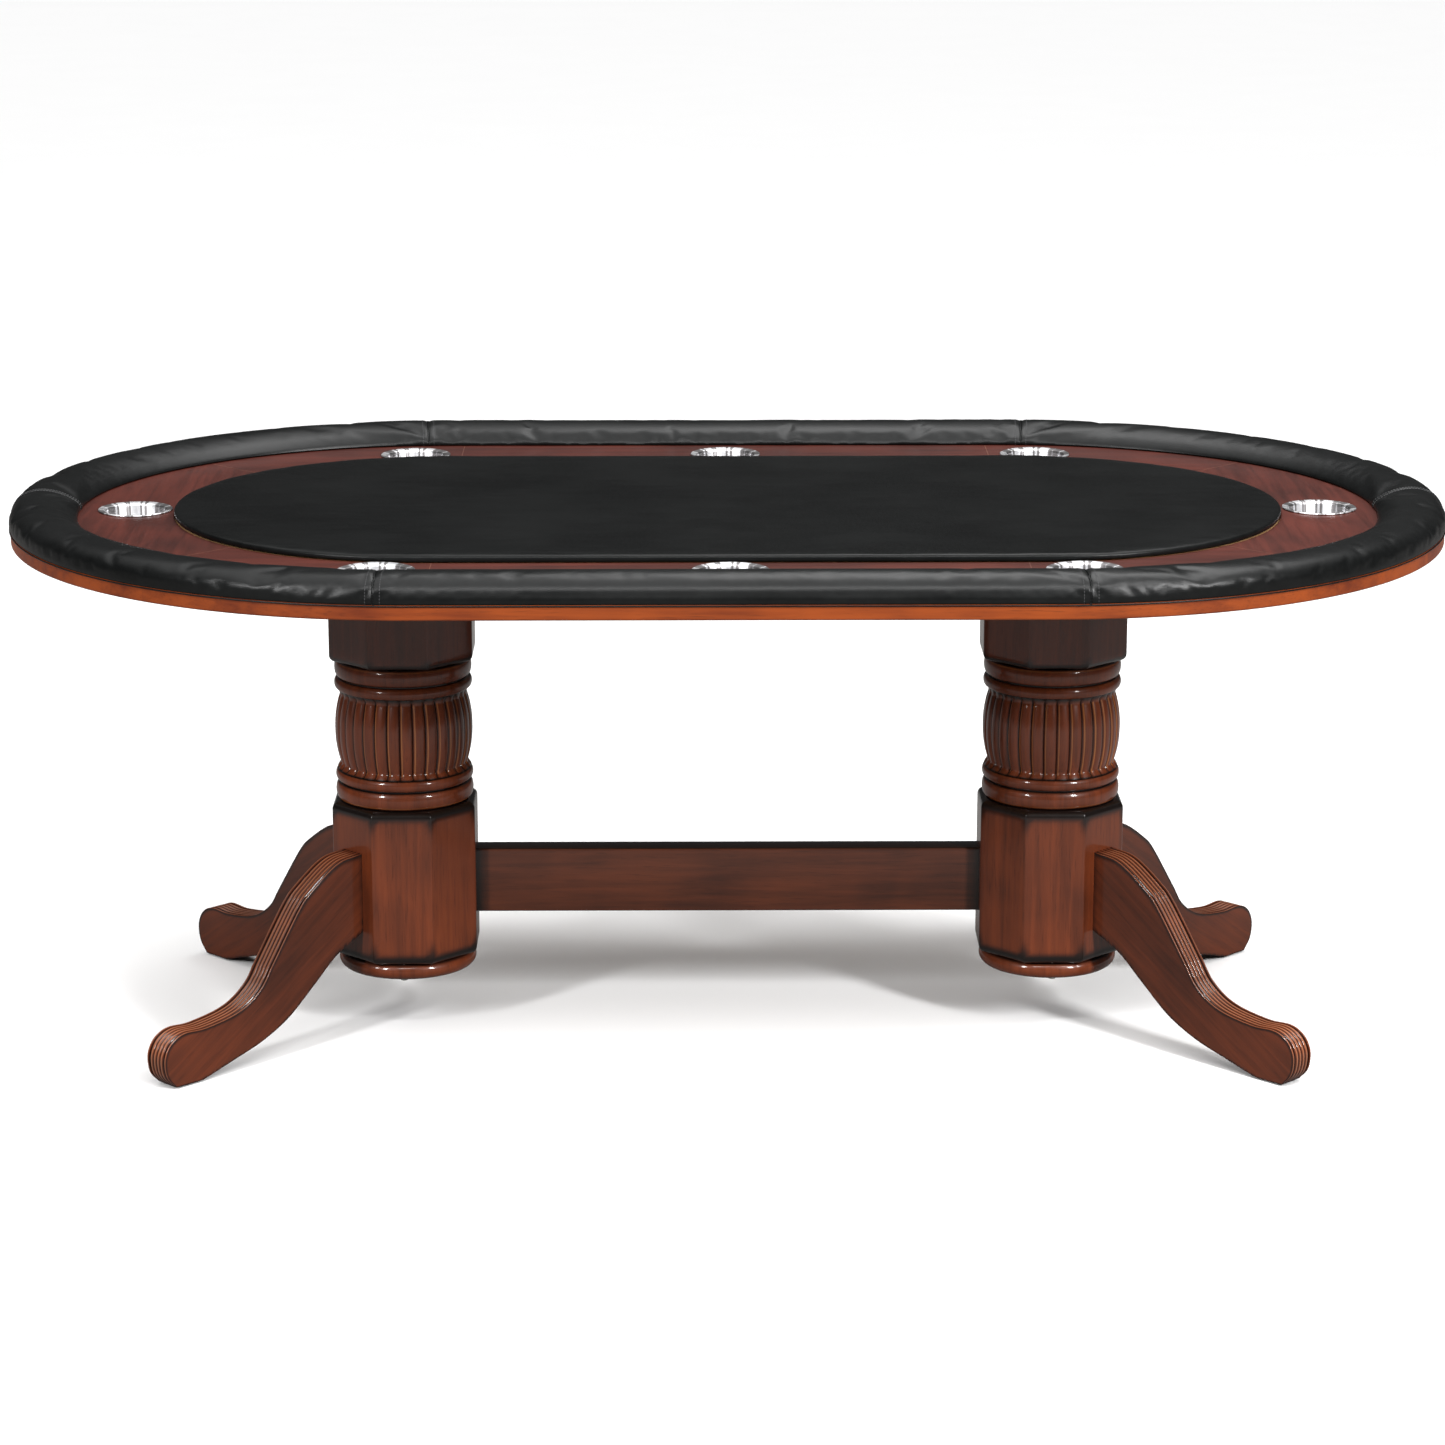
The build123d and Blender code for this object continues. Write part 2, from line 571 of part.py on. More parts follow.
# ---------------------------------------------------------------- assembly
def build():
    nodes = {}
    rail_fasteners = rail_screws()
    playfield_fasteners = playfield_screws()
    racetrack_fasteners = racetrack_screws()
    bed_fasteners = bed_screws()
    cups = cup_places()

    bed = stadium(BED_INSET, BED_BOTTOM, BED_TOP)
    bed = drill(bed, [cup_hole(x, y) for x, y in cups.values()])
    fasteners = rail_fasteners + playfield_fasteners + racetrack_fasteners + bed_fasteners
    nodes["table_bed"] = drill(bed, fasteners)

    band = edge_band_ring()
    core = drill(rail_core_ring(), rail_fasteners)
    for name, block in straight_and_end_sectors().items():
        nodes[f"edge_band_{name}"] = band & block
        nodes[f"rail_core_{name}"] = core & block

    cushion = rail_cushion_ring()
    for name, block in rail_sectors().items():
        nodes[f"rail_cushion_{name}"] = cushion & block

    racetrack = drill(racetrack_ring(), racetrack_fasteners)
    for name, block in racetrack_sectors().items():
        nodes[f"racetrack_panel_{name}"] = (racetrack & block) - cup_hole(*cups[name])
        nodes[f"cup_holder_{name}"] = cup_holder(*cups[name])

    board = stadium(PLAYFIELD_INSET + BOARD_SETBACK, BED_TOP, BOARD_TOP)
    nodes["playfield_board"] = drill(board, playfield_fasteners)
    nodes["playfield_pad"] = playfield_pad()

    for name, row in ROWS.items():
        nodes[f"batten_{name}"] = drill(batten(row), bed_fasteners)
    for name, side in SIDES.items():
        nodes[f"top_plate_{name}"] = drill(top_plate(side), bed_fasteners)

    fastenings = [leg_fastening(level) for level in LEG_BOLT_LEVELS]
    leg_bolts, leg_nuts, glides = [], [], []
    legs_by_side = {name: [] for name in SIDES}
    scroll = drill(leg(), [bolt for bolt, washer, nut in fastenings])
    for side_name, side in SIDES.items():
        for row_name, row in ROWS.items():
            place = leg_place(side, row)
            nodes[f"leg_{row_name}_{side_name}"] = place * scroll
            legs_by_side[side_name] += [place * bolt for bolt, washer, nut in fastenings]
            leg_nuts += [place * piece for bolt, washer, nut in fastenings for piece in (washer, nut)]
            glides.append(place * foot_glide())
        leg_bolts += legs_by_side[side_name]

    stretcher_bolts = []
    for side_name, side in SIDES.items():
        place = Pos(side * PEDESTAL_SPACING / 2, 0, 0) * Rot(0, 0, 90 + side * 90)
        side_bolts = [place * stretcher_bolt(level) for level in STRETCHER_BOLT_LEVELS]
        stretcher_bolts += side_bolts
        legs_by_side[side_name] += side_bolts
    nodes["stretcher"] = drill(stretcher(), stretcher_bolts)

    for name, part in column_solids(column_head()).items():
        nodes[f"column_head_{name}"] = part
    for name, part in column_solids(column_vase()).items():
        nodes[f"column_vase_{name}"] = part
    base = drill(column_base(), base_screws())
    for name, part in column_solids(base).items():
        nodes[f"column_base_{name}"] = drill(part, legs_by_side[name])
    for name, part in column_solids(drill(base_moulding(), base_screws())).items():
        nodes[f"base_moulding_{name}"] = part

    nodes["tie_rods"] = group(part for piece in tie_rod() for part in column_solids(piece).values())
    nodes["base_screws"] = group(part for piece in base_screws() for part in column_solids(piece).values())
    nodes["rail_screws"] = group(rail_fasteners)
    nodes["playfield_screws"] = group(playfield_fasteners + racetrack_fasteners)
    nodes["bed_screws"] = group(bed_fasteners)
    nodes["leg_bolts"] = group(leg_bolts)
    nodes["leg_nuts"] = group(leg_nuts)
    nodes["stretcher_bolts"] = group(stretcher_bolts)
    nodes["foot_glides"] = group(glides)
    return nodes


os.makedirs("parts", exist_ok=True)
for node_name, node_part in build().items():
    export_step(node_part, f"parts/{node_name}.step")
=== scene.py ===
"""Looks of a poker table: padded rail, veneered racetrack, playing surface and turned pedestals."""
import json
import logging
from collections.abc import Callable, Sequence
from dataclasses import dataclass, field
from enum import Enum
from math import asin, atan2, ceil, cos, degrees, hypot, pi, radians, sin, sqrt

import bmesh
import bpy
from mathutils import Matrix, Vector
from mathutils.bvhtree import BVHTree


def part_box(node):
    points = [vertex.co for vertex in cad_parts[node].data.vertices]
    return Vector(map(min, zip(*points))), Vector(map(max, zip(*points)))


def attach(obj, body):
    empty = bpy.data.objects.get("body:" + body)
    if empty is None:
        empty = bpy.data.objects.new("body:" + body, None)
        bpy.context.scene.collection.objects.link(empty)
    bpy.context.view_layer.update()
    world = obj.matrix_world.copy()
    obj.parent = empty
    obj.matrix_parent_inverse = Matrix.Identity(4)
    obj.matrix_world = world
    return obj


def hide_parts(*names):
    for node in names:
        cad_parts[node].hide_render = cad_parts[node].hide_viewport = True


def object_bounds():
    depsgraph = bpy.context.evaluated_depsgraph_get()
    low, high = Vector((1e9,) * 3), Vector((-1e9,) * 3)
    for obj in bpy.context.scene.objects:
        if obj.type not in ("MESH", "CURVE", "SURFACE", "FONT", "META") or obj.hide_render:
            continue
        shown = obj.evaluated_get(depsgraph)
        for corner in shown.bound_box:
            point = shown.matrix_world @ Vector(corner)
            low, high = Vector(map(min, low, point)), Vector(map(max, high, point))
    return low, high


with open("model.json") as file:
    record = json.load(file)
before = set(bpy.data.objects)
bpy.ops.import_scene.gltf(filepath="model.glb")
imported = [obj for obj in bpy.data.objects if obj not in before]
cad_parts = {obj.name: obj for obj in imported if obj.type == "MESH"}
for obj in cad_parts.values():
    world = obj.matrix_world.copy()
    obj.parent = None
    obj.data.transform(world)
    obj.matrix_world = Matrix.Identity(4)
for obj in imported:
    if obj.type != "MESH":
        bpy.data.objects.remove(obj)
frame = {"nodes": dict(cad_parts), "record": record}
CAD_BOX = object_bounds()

LOG = logging.getLogger("poker_table")
TABLE = "table"
MM = 0.001
Point2 = tuple[float, float]
Point3 = tuple[float, float, float]
Colour = tuple[float, float, float, float]
MIX_FACTOR, MIX_FIRST, MIX_SECOND, MIX_COLOUR = 0, 6, 7, 2    # colour sockets of a Mix node


# ------------------------------------------------------------------ shader maths
class Value:
    """A number socket of a material, on which plain arithmetic adds Math nodes."""

    def __init__(self, graph: "Graph", socket: bpy.types.NodeSocket) -> None:
        """Wrap an output socket of a graph."""
        self.graph = graph
        self.socket = socket

    def _maths(self, operation: str, first: "Value | float", second: "Value | float") -> "Value":
        """Add a Math node on two values."""
        return self.graph.add("ShaderNodeMath", {"operation": operation}, {0: first, 1: second})

    def __add__(self, other: "Value | float") -> "Value":
        """Sum."""
        return self._maths("ADD", self, other)

    __radd__ = __add__

    def __sub__(self, other: "Value | float") -> "Value":
        """Difference."""
        return self._maths("SUBTRACT", self, other)

    def __rsub__(self, other: float) -> "Value":
        """Difference, reflected."""
        return self._maths("SUBTRACT", other, self)

    def __mul__(self, other: "Value | float") -> "Value":
        """Product."""
        return self._maths("MULTIPLY", self, other)

    __rmul__ = __mul__

    def ramp(self, low: float, high: float) -> "Value":
        """Rise smoothly from 0 at low to 1 at high.

        Args:
            low: The value that gives 0.
            high: The value that gives 1.

        Returns:
            The clamped smooth step.
        """
        settings = {"interpolation_type": "SMOOTHSTEP", "clamp": True}
        inputs = {"Value": self, "From Min": low, "From Max": high, "To Min": 0.0, "To Max": 1.0}
        return self.graph.add("ShaderNodeMapRange", settings, inputs)


class Graph:
    """A node tree, on which nodes are added step by step."""

    def __init__(self, tree: bpy.types.NodeTree) -> None:
        """Start on an emptied tree."""
        self.tree = tree
        self.tree.nodes.clear()

    def node(self, kind: str, settings: dict, inputs: dict) -> bpy.types.Node:
        """Add any node.

        Args:
            kind: The node's type.
            settings: Its own settings, such as an operation.
            inputs: Values or links of its sockets, by name or number.

        Returns:
            The node.
        """
        node = self.tree.nodes.new(kind)
        for name, value in settings.items():
            setattr(node, name, value)
        for key, value in inputs.items():
            self.feed(node.inputs[key], value)
        return node

    def add(self, kind: str, settings: dict, inputs: dict, output: int | str = 0) -> Value:
        """Add any node and wrap one of its outputs."""
        return Value(self, self.node(kind, settings, inputs).outputs[output])

    def feed(self, socket: bpy.types.NodeSocket, value: object) -> None:
        """Link a socket, or set it.

        Args:
            socket: The input socket.
            value: A value or an output socket to link, or a plain value to set.
        """
        source = value.socket if isinstance(value, Value) else value
        if isinstance(source, bpy.types.NodeSocket):
            self.tree.links.new(source, socket)
        else:
            socket.default_value = source

    def place(self, stretch: Point3 = (1, 1, 1), turn: Point3 = (0, 0, 0), uv: bool = False) -> Value:
        """The surface's own coordinates in metres, turned and then stretched.

        Args:
            stretch: Scale along each axis.
            turn: Rotation in degrees.
            uv: Read the piece's UV map instead of its place.

        Returns:
            The coordinate vector.
        """
        start = self.add("ShaderNodeTexCoord", {}, {}, "UV" if uv else "Object")
        rotation = tuple(radians(angle) for angle in turn)
        turned = self.add("ShaderNodeMapping", {}, {"Vector": start, "Rotation": rotation})
        return self.add("ShaderNodeMapping", {}, {"Vector": turned, "Scale": stretch})

    def axes(self, vector: Value) -> tuple[Value, Value, Value]:
        """The three numbers of a vector."""
        node = self.node("ShaderNodeSeparateXYZ", {}, {0: vector})
        return tuple(Value(self, output) for output in node.outputs)

    def noise(self, vector: Value, scale: float, detail: float = 4.0, distortion: float = 0.0) -> Value:
        """Soft noise from 0 to 1."""
        inputs = {"Vector": vector, "Scale": scale, "Detail": detail, "Distortion": distortion}
        return self.add("ShaderNodeTexNoise", {"noise_dimensions": "3D"}, inputs)

    def cells(self, vector: Value, scale: float) -> Value:
        """Distance to the nearest cell border, for pebbled grain."""
        settings = {"feature": "DISTANCE_TO_EDGE"}
        return self.add("ShaderNodeTexVoronoi", settings, {"Vector": vector, "Scale": scale})

    def blend(self, factor: "Value | float", first: "Value | Sequence[float]",
              second: "Value | Sequence[float]") -> Value:
        """Mix two colours."""
        inputs = {MIX_FACTOR: factor, MIX_FIRST: first, MIX_SECOND: second}
        return self.add("ShaderNodeMix", {"data_type": "RGBA"}, inputs, MIX_COLOUR)

    def bump(self, height: Value, strength: float, distance: float) -> Value:
        """Surface normal from a height."""
        inputs = {"Height": height, "Strength": strength, "Distance": distance}
        return self.add("ShaderNodeBump", {}, inputs)


class Surface(Graph):
    """The node tree of one material, with its Principled shader."""

    def __init__(self, name: str) -> None:
        """Make an empty material of that name."""
        self.material = bpy.data.materials.new(name)
        self.material.use_nodes = True
        super().__init__(self.material.node_tree)
        output = self.tree.nodes.new("ShaderNodeOutputMaterial")
        self.shader = self.tree.nodes.new("ShaderNodeBsdfPrincipled")
        self.tree.links.new(self.shader.outputs[0], output.inputs["Surface"])

    def set(self, **values: "Value | float | Sequence[float]") -> None:
        """Set the shader's sockets, with underscores for the spaces in their names."""
        for name, value in values.items():
            self.feed(self.shader.inputs[name.replace("_", " ")], value)


def tint(red: float, green: float, blue: float) -> Colour:
    """A colour given as 0 to 255 screen values, made linear.

    Args:
        red: Red part.
        green: Green part.
        blue: Blue part.

    Returns:
        Linear colour with full alpha.
    """
    def linear(part: float) -> float:
        """One channel made linear."""
        share = part / 255
        return share / 12.92 if share <= 0.04045 else ((share + 0.055) / 1.055) ** 2.4

    return (linear(red), linear(green), linear(blue), 1.0)


# ------------------------------------------------------------------ finishes
class Grain(Enum):
    """Which way the wood's fibres run."""

    LENGTHWAYS = "along the table"
    CROSSWAYS = "across the table"
    UPRIGHT = "up the piece"
    ALONG_LEG = "down the leg, on the leg's own map"


GRAIN_STRETCH = {
    Grain.LENGTHWAYS: (0.06, 1.0, 1.0),
    Grain.CROSSWAYS: (1.0, 0.06, 1.0),
    Grain.UPRIGHT: (1.0, 1.0, 0.06),
    Grain.ALONG_LEG: (0.06, 1.0, 1.0),
}


@dataclass(frozen=True)
class StainedWood:
    """Stained and lacquered wood, darker in its recesses from glaze and painted shade, lighter on edges and
    crests from wear and painted highlights.

    Attributes:
        name: Material name.
        light: Lighter stain colour.
        dark: Darker stain colour.
        grain: Which way the fibres run.
        glaze_and_shade: Colour of the glaze in the pores, and of the glaze and painted shade in the recesses
            and corners.
        rough: Mean roughness of the wood under the lacquer.
        coat: Weight of the lacquer.
        coat_rough: Roughness of the lacquer.
        wear_and_highlight: Colour where an edge is rubbed through.
        patch: Strength of the broad light and dark patches.
    """

    name: str
    light: Colour
    dark: Colour
    grain: Grain
    glaze_and_shade: Colour = tint(16, 8, 6)
    rough: float = 0.42
    coat: float = 0.95
    coat_rough: float = 0.09
    # wear_and_highlight: Colour where an edge is rubbed through, and of the painted highlights on the reeds.
    wear_and_highlight: Colour = tint(176, 112, 62)
    patch: float = 0.5

    def make(self) -> bpy.types.Material:
        """Build the material.

        Returns:
            The finished material. A piece may carry two attributes from 0 to 1, one for glaze and painted
            shade and one for wear and painted highlights.
        """
        graph = Surface(self.name)
        on_map = self.grain is Grain.ALONG_LEG
        turn = (0.0, 0.0, 33.0) if on_map else (0.0, 0.0, 0.0)
        fibres = graph.place(GRAIN_STRETCH[self.grain], turn, on_map)
        body = graph.place((1.0, 1.0, 1.0), turn, on_map)
        streak = graph.noise(fibres, 95.0, 6.0, 0.6)
        figure = graph.noise(fibres, 22.0, 3.0, 1.2)
        patch = graph.noise(body, 6.5, 2.0, 0.4)
        pores = graph.noise(fibres, 520.0, 2.0)
        tone = (streak * 0.45 + figure * 0.35 + patch * self.patch - 0.18 * self.patch).ramp(0.28, 0.88)
        stain = graph.blend(tone, self.dark, self.light)
        stain = graph.blend((pores - 0.55).ramp(0.0, 0.2) * 0.30, stain, self.glaze_and_shade)
        # Glaze and painted shade: darker where a piece's attribute says, in recesses, corners, ends and
        # undersides.
        glaze_and_shade = graph.add("ShaderNodeAttribute", {"attribute_name": "glaze_and_shade"}, {}, "Fac")
        stain = graph.blend((glaze_and_shade * (0.75 + patch * 0.5)).ramp(0.02, 0.98), stain, self.glaze_and_shade)
        # Wear and painted highlight: lighter where a piece's attribute says, on rubbed edges and reed crests.
        wear_and_highlight = graph.add("ShaderNodeAttribute", {"attribute_name": "wear_and_highlight"}, {}, "Fac")
        stain = graph.blend((wear_and_highlight * (0.35 + patch)).ramp(0.1, 0.9), stain, self.wear_and_highlight)
        graph.set(
            Base_Color=stain,
            Roughness=self.rough + (streak - 0.5) * 0.18,
            Coat_Weight=self.coat,
            Coat_Roughness=self.coat_rough,
            Coat_IOR=1.40,
            Specular_IOR_Level=0.2,
            Normal=graph.bump(streak * 0.6 + pores * 0.4, 0.10, 0.0004),
        )
        return graph.material


@dataclass(frozen=True)
class Vinyl:
    """Soft black upholstery vinyl with a pebbled or creased grain.

    Attributes:
        name: Material name.
        colour: Base colour.
        high: Lighter colour on the crests of the grain.
        stretch: How the creases are drawn out along each axis.
        rough: Mean roughness.
        crease: Strength of the creases.
        sheen: How strongly its surface shines.
    """

    name: str
    colour: Colour
    high: Colour
    stretch: Point3
    rough: float
    crease: float
    sheen: float

    def make(self) -> bpy.types.Material:
        """Build the material."""
        graph = Surface(self.name)
        place = graph.place(self.stretch)
        even = graph.place()
        pebble = graph.cells(even, 620.0).ramp(0.0, 0.35)
        crease = graph.noise(place, 60.0, 5.0, 0.8)
        cloud = graph.noise(even, 5.0, 2.0)
        height = pebble * 0.35 + crease * self.crease
        graph.set(
            Base_Color=graph.blend((crease * 0.6 + cloud * 0.5).ramp(0.35, 0.8), self.colour, self.high),
            Roughness=self.rough + (cloud - 0.5) * 0.12 + (1 - pebble) * 0.05,
            Specular_IOR_Level=self.sheen,
            Normal=graph.bump(height, 0.22, 0.0006),
        )
        return graph.material


@dataclass(frozen=True)
class DrawnSteel:
    """Pressed stainless steel with light and dark streaks up the wall, on the piece's own map: draw marks and
    painted reflections.
    """

    name: str
    bright: Colour = tint(244, 244, 246)
    shade: Colour = tint(112, 108, 108)

    def make(self) -> bpy.types.Material:
        """Build the material."""
        graph = Surface(self.name)
        bands = graph.noise(graph.place((1.0, 0.05, 1.0), uv=True), 36.0, 2.0)
        fine = graph.noise(graph.place((1.0, 0.02, 1.0), uv=True), 160.0, 2.0)
        streak = bands.ramp(0.46, 0.56)
        graph.set(
            # Painted reflection and draw marks: bright and dark streaks up the wall in the base colour.
            Base_Color=graph.blend(streak * 0.9, self.bright, self.shade),
            Metallic=1.0,
            Roughness=0.34 + fine * 0.12,
            Normal=graph.bump(fine, 0.05, 0.0002),
        )
        return graph.material


@dataclass(frozen=True)
class PlainMetal:
    """Zinc-plated screws and nuts."""

    name: str
    colour: Colour
    rough: float

    def make(self) -> bpy.types.Material:
        """Build the material."""
        graph = Surface(self.name)
        cloud = graph.noise(graph.place(), 180.0, 3.0)
        graph.set(
            Base_Color=graph.blend(cloud.ramp(0.3, 0.7), self.colour, tint(120, 118, 112)),
            Metallic=1.0,
            Roughness=self.rough + (cloud - 0.5) * 0.2,
        )
        return graph.material


@dataclass(frozen=True)
class MouldedNylon:
    """Black nylon glides."""

    name: str

    def make(self) -> bpy.types.Material:
        """Build the material."""
        graph = Surface(self.name)
        cloud = graph.noise(graph.place(), 400.0, 3.0)
        graph.set(
            Base_Color=graph.blend(cloud, tint(22, 22, 22), tint(38, 38, 38)),
            Roughness=0.5 + (cloud - 0.5) * 0.2,
            Normal=graph.bump(cloud, 0.1, 0.0003),
        )
        return graph.material


@dataclass(frozen=True)
class Thread:
    """Waxed sewing thread, twisted."""

    name: str
    colour: Colour = tint(40, 40, 41)

    def make(self) -> bpy.types.Material:
        """Build the material."""
        graph = Surface(self.name)
        twist = graph.noise(graph.place(), 2400.0, 2.0)
        graph.set(
            Base_Color=graph.blend(twist, self.colour, tint(78, 78, 80)),
            Roughness=0.55 + (twist - 0.5) * 0.2,
        )
        return graph.material


class Finishes:
    """Every finish of the table, made once."""

    def __init__(self) -> None:
        """Build the materials."""
        veneer = (tint(84, 35, 25), tint(46, 18, 13))
        satin = {"rough": 0.5, "coat": 0.22, "coat_rough": 0.18}
        self.column = StainedWood("wood_column", tint(124, 57, 27), tint(74, 33, 17), Grain.UPRIGHT).make()
        # The head's stain is darker than the column's, partly as painted shade from the table top above it.
        self.head = StainedWood("wood_head_and_shade", tint(110, 50, 26), tint(66, 29, 16), Grain.UPRIGHT).make()
        # The leg's wear colour also paints highlights on the crests of its reeds.
        self.leg = StainedWood(
            "wood_leg", tint(110, 50, 25), tint(58, 26, 14), Grain.ALONG_LEG, wear_and_highlight=tint(186, 120, 84),
        ).make()
        self.stretcher = StainedWood(
            "wood_stretcher", tint(94, 45, 24), tint(50, 23, 13), Grain.LENGTHWAYS,
        ).make()
        self.edge = StainedWood(
            "wood_edge_band", tint(142, 64, 20), tint(84, 30, 12), Grain.LENGTHWAYS, rough=0.5, coat=0.3,
            coat_rough=0.25, patch=0.8,
        ).make()
        self.racetrack = StainedWood("veneer_racetrack", *veneer, Grain.LENGTHWAYS, **satin).make()
        self.racetrack_end = StainedWood("veneer_racetrack_end", *veneer, Grain.CROSSWAYS, **satin).make()
        self.inlay = StainedWood(
            "wood_inlay", tint(112, 70, 54), tint(72, 40, 31), Grain.LENGTHWAYS, coat=0.4, coat_rough=0.3,
        ).make()
        self.plywood = StainedWood(
            "plywood", tint(190, 152, 108), tint(150, 112, 74), Grain.LENGTHWAYS, rough=0.6, coat=0.0,
        ).make()
        self.rail = Vinyl(
            "vinyl_rail", tint(9, 10, 10), tint(17, 18, 18), (1.0, 1.0, 1.0), rough=0.30, crease=0.6,
            sheen=0.22,
        ).make()
        self.playfield = Vinyl(
            "vinyl_playfield", tint(9, 10, 10), tint(18, 19, 19), (0.22, 1.6, 1.0), rough=0.27, crease=1.0,
            sheen=0.12,
        ).make()
        self.steel = DrawnSteel("steel_drawn").make()
        self.zinc = PlainMetal("steel_zinc", tint(190, 190, 188), 0.35).make()
        self.nylon = MouldedNylon("nylon_black").make()
        self.thread = Thread("thread_black").make()


# ------------------------------------------------------------------ mesh tools
Faces = list[Sequence[int]]


def build_mesh(name: str, points: Sequence[Sequence[float]], faces: Faces,
               material: bpy.types.Material, crease: float = 40.0, weld: float = 1e-6) -> bpy.types.Object:
    """Make a closed, smooth-shaded piece at the origin.

    Args:
        name: The piece's name.
        points: Vertex places in metres.
        faces: Vertex numbers of each face.
        material: Its finish.
        crease: Angle in degrees above which an edge stays sharp.
        weld: Distance under which vertices are joined.

    Returns:
        The linked object.
    """
    mesh = bpy.data.meshes.new(name)
    mesh.from_pydata([tuple(point) for point in points], [], faces)
    merge_doubles(mesh, weld)
    mesh.materials.append(material)
    finish_shading(mesh, crease)
    return put_down(name, mesh)


def put_down(name: str, data: bpy.types.ID) -> bpy.types.Object:
    """Add an object to the scene, at the origin."""
    piece = bpy.data.objects.new(name, data)
    bpy.context.scene.collection.objects.link(piece)
    return piece


def merge_doubles(mesh: bpy.types.Mesh, weld: float) -> None:
    """Join vertices that lie together, and turn the faces outwards.

    Args:
        mesh: The mesh, which is changed.
        weld: Distance under which vertices are joined.
    """
    shell = bmesh.new()
    shell.from_mesh(mesh)
    bmesh.ops.remove_doubles(shell, verts=shell.verts, dist=weld)
    bmesh.ops.recalc_face_normals(shell, faces=shell.faces)
    shell.to_mesh(mesh)
    shell.free()


def finish_shading(mesh: bpy.types.Mesh, crease: float) -> None:
    """Shade smooth, with sharp edges above an angle in degrees."""
    mesh.polygons.foreach_set("use_smooth", [True] * len(mesh.polygons))
    mesh.set_sharp_from_angle(angle=radians(crease))


def grid_faces(rows: int, columns: int, closed_rows: bool = False, closed_columns: bool = False) -> Faces:
    """Quads between the rows and columns of a grid of vertices.

    Args:
        rows: Number of rows.
        columns: Vertices in each row.
        closed_rows: Join the last row to the first.
        closed_columns: Join the last column to the first.

    Returns:
        The faces, for vertices numbered row by row.
    """
    faces = []
    for row in range(rows if closed_rows else rows - 1):
        below = (row + 1) % rows
        for column in range(columns if closed_columns else columns - 1):
            beside = (column + 1) % columns
            faces.append((row * columns + column, row * columns + beside,
                          below * columns + beside, below * columns + column))
    return faces


def end_caps(rows: int, columns: int) -> Faces:
    """The faces that close the first and the last row of a grid whose rows are loops."""
    last = (rows - 1) * columns
    return [tuple(reversed(range(columns))), tuple(range(last, last + columns))]


def bake_modifiers(piece: bpy.types.Object) -> None:
    """Turn what a piece's modifiers give into its own plain mesh, and remove them.

    Args:
        piece: The piece, which is changed.
    """
    bpy.context.view_layer.update()
    evaluated = piece.evaluated_get(bpy.context.evaluated_depsgraph_get())
    mesh = bpy.data.meshes.new_from_object(evaluated)
    piece.modifiers.clear()
    piece.data = mesh


def subdivide(piece: bpy.types.Object, crease: float) -> None:
    """Round a cover's facets off once, and keep the result.

    Args:
        piece: The cover, which is changed.
        crease: Angle in degrees above which an edge stays sharp.
    """
    smooth = piece.modifiers.new("smooth", "SUBSURF")
    smooth.levels = smooth.render_levels = 1
    bake_modifiers(piece)
    finish_shading(piece.data, crease)


def paint(piece: bpy.types.Object, name: str, rule: Callable[[Vector], float]) -> None:
    """Give each vertex a number from 0 to 1, worked out from its place."""
    layer = piece.data.attributes.new(name, "FLOAT", "POINT")
    layer.data.foreach_set("value", [rule(vertex.co) for vertex in piece.data.vertices])


def smooth_step(value: float, low: float, high: float) -> float:
    """Rise smoothly from 0 at low to 1 at high."""
    share = min(max((value - low) / (high - low), 0.0), 1.0)
    return share * share * (3 - 2 * share)


def curve_through(points: Sequence[Point2], steps: int) -> list[Point2]:
    """A smooth line through a few points.

    Args:
        points: The points, in order.
        steps: Pieces between each pair.

    Returns:
        Points along the line, ends included.
    """
    path = [Vector(point) for point in points]
    ends = [path[0] * 2 - path[1]] + path + [path[-1] * 2 - path[-2]]
    line = []
    for before, start, end, after in zip(ends, ends[1:], ends[2:], ends[3:]):
        pull_in, pull_out = (end - before) / 2, (after - start) / 2
        for step in range(steps):
            share = step / steps
            cube, square = share ** 3, share ** 2
            place = (start * (2 * cube - 3 * square + 1) + pull_in * (cube - 2 * square + share)
                     + end * (3 * square - 2 * cube) + pull_out * (cube - square))
            line.append(tuple(place))
    line.append(tuple(path[-1]))
    return line


def even_line(points: Sequence[Point2], count: int) -> list[Point2]:
    """The same line, with its points spread evenly along it.

    Args:
        points: The line.
        count: How many points to spread.

    Returns:
        The new points, ends included.
    """
    path = [Vector(point) for point in points]
    lengths = [0.0]
    for start, end in zip(path, path[1:]):
        lengths.append(lengths[-1] + (end - start).length)
    line = []
    spot = 0
    for step in range(count):
        wanted = lengths[-1] * step / (count - 1)
        while spot < len(path) - 2 and lengths[spot + 1] < wanted:
            spot += 1
        run = lengths[spot + 1] - lengths[spot]
        share = (wanted - lengths[spot]) / run if run else 0.0
        line.append(tuple(path[spot].lerp(path[spot + 1], min(max(share, 0.0), 1.0))))
    return line


def bearing(centre: Point2, place: Vector) -> float:
    """Angle of a place round an upright axis, from 0 to a full turn."""
    return atan2(place.y - centre[1], place.x - centre[0]) % (2 * pi)


def quarter_round(centre: Point2, radius: float, start: float, steps: int = 5) -> list[Point2]:
    """Points on a quarter circle, from start degrees on, anticlockwise."""
    angles = [radians(start + 90 * step / steps) for step in range(steps + 1)]
    return [(centre[0] + radius * cos(angle), centre[1] + radius * sin(angle)) for angle in angles]


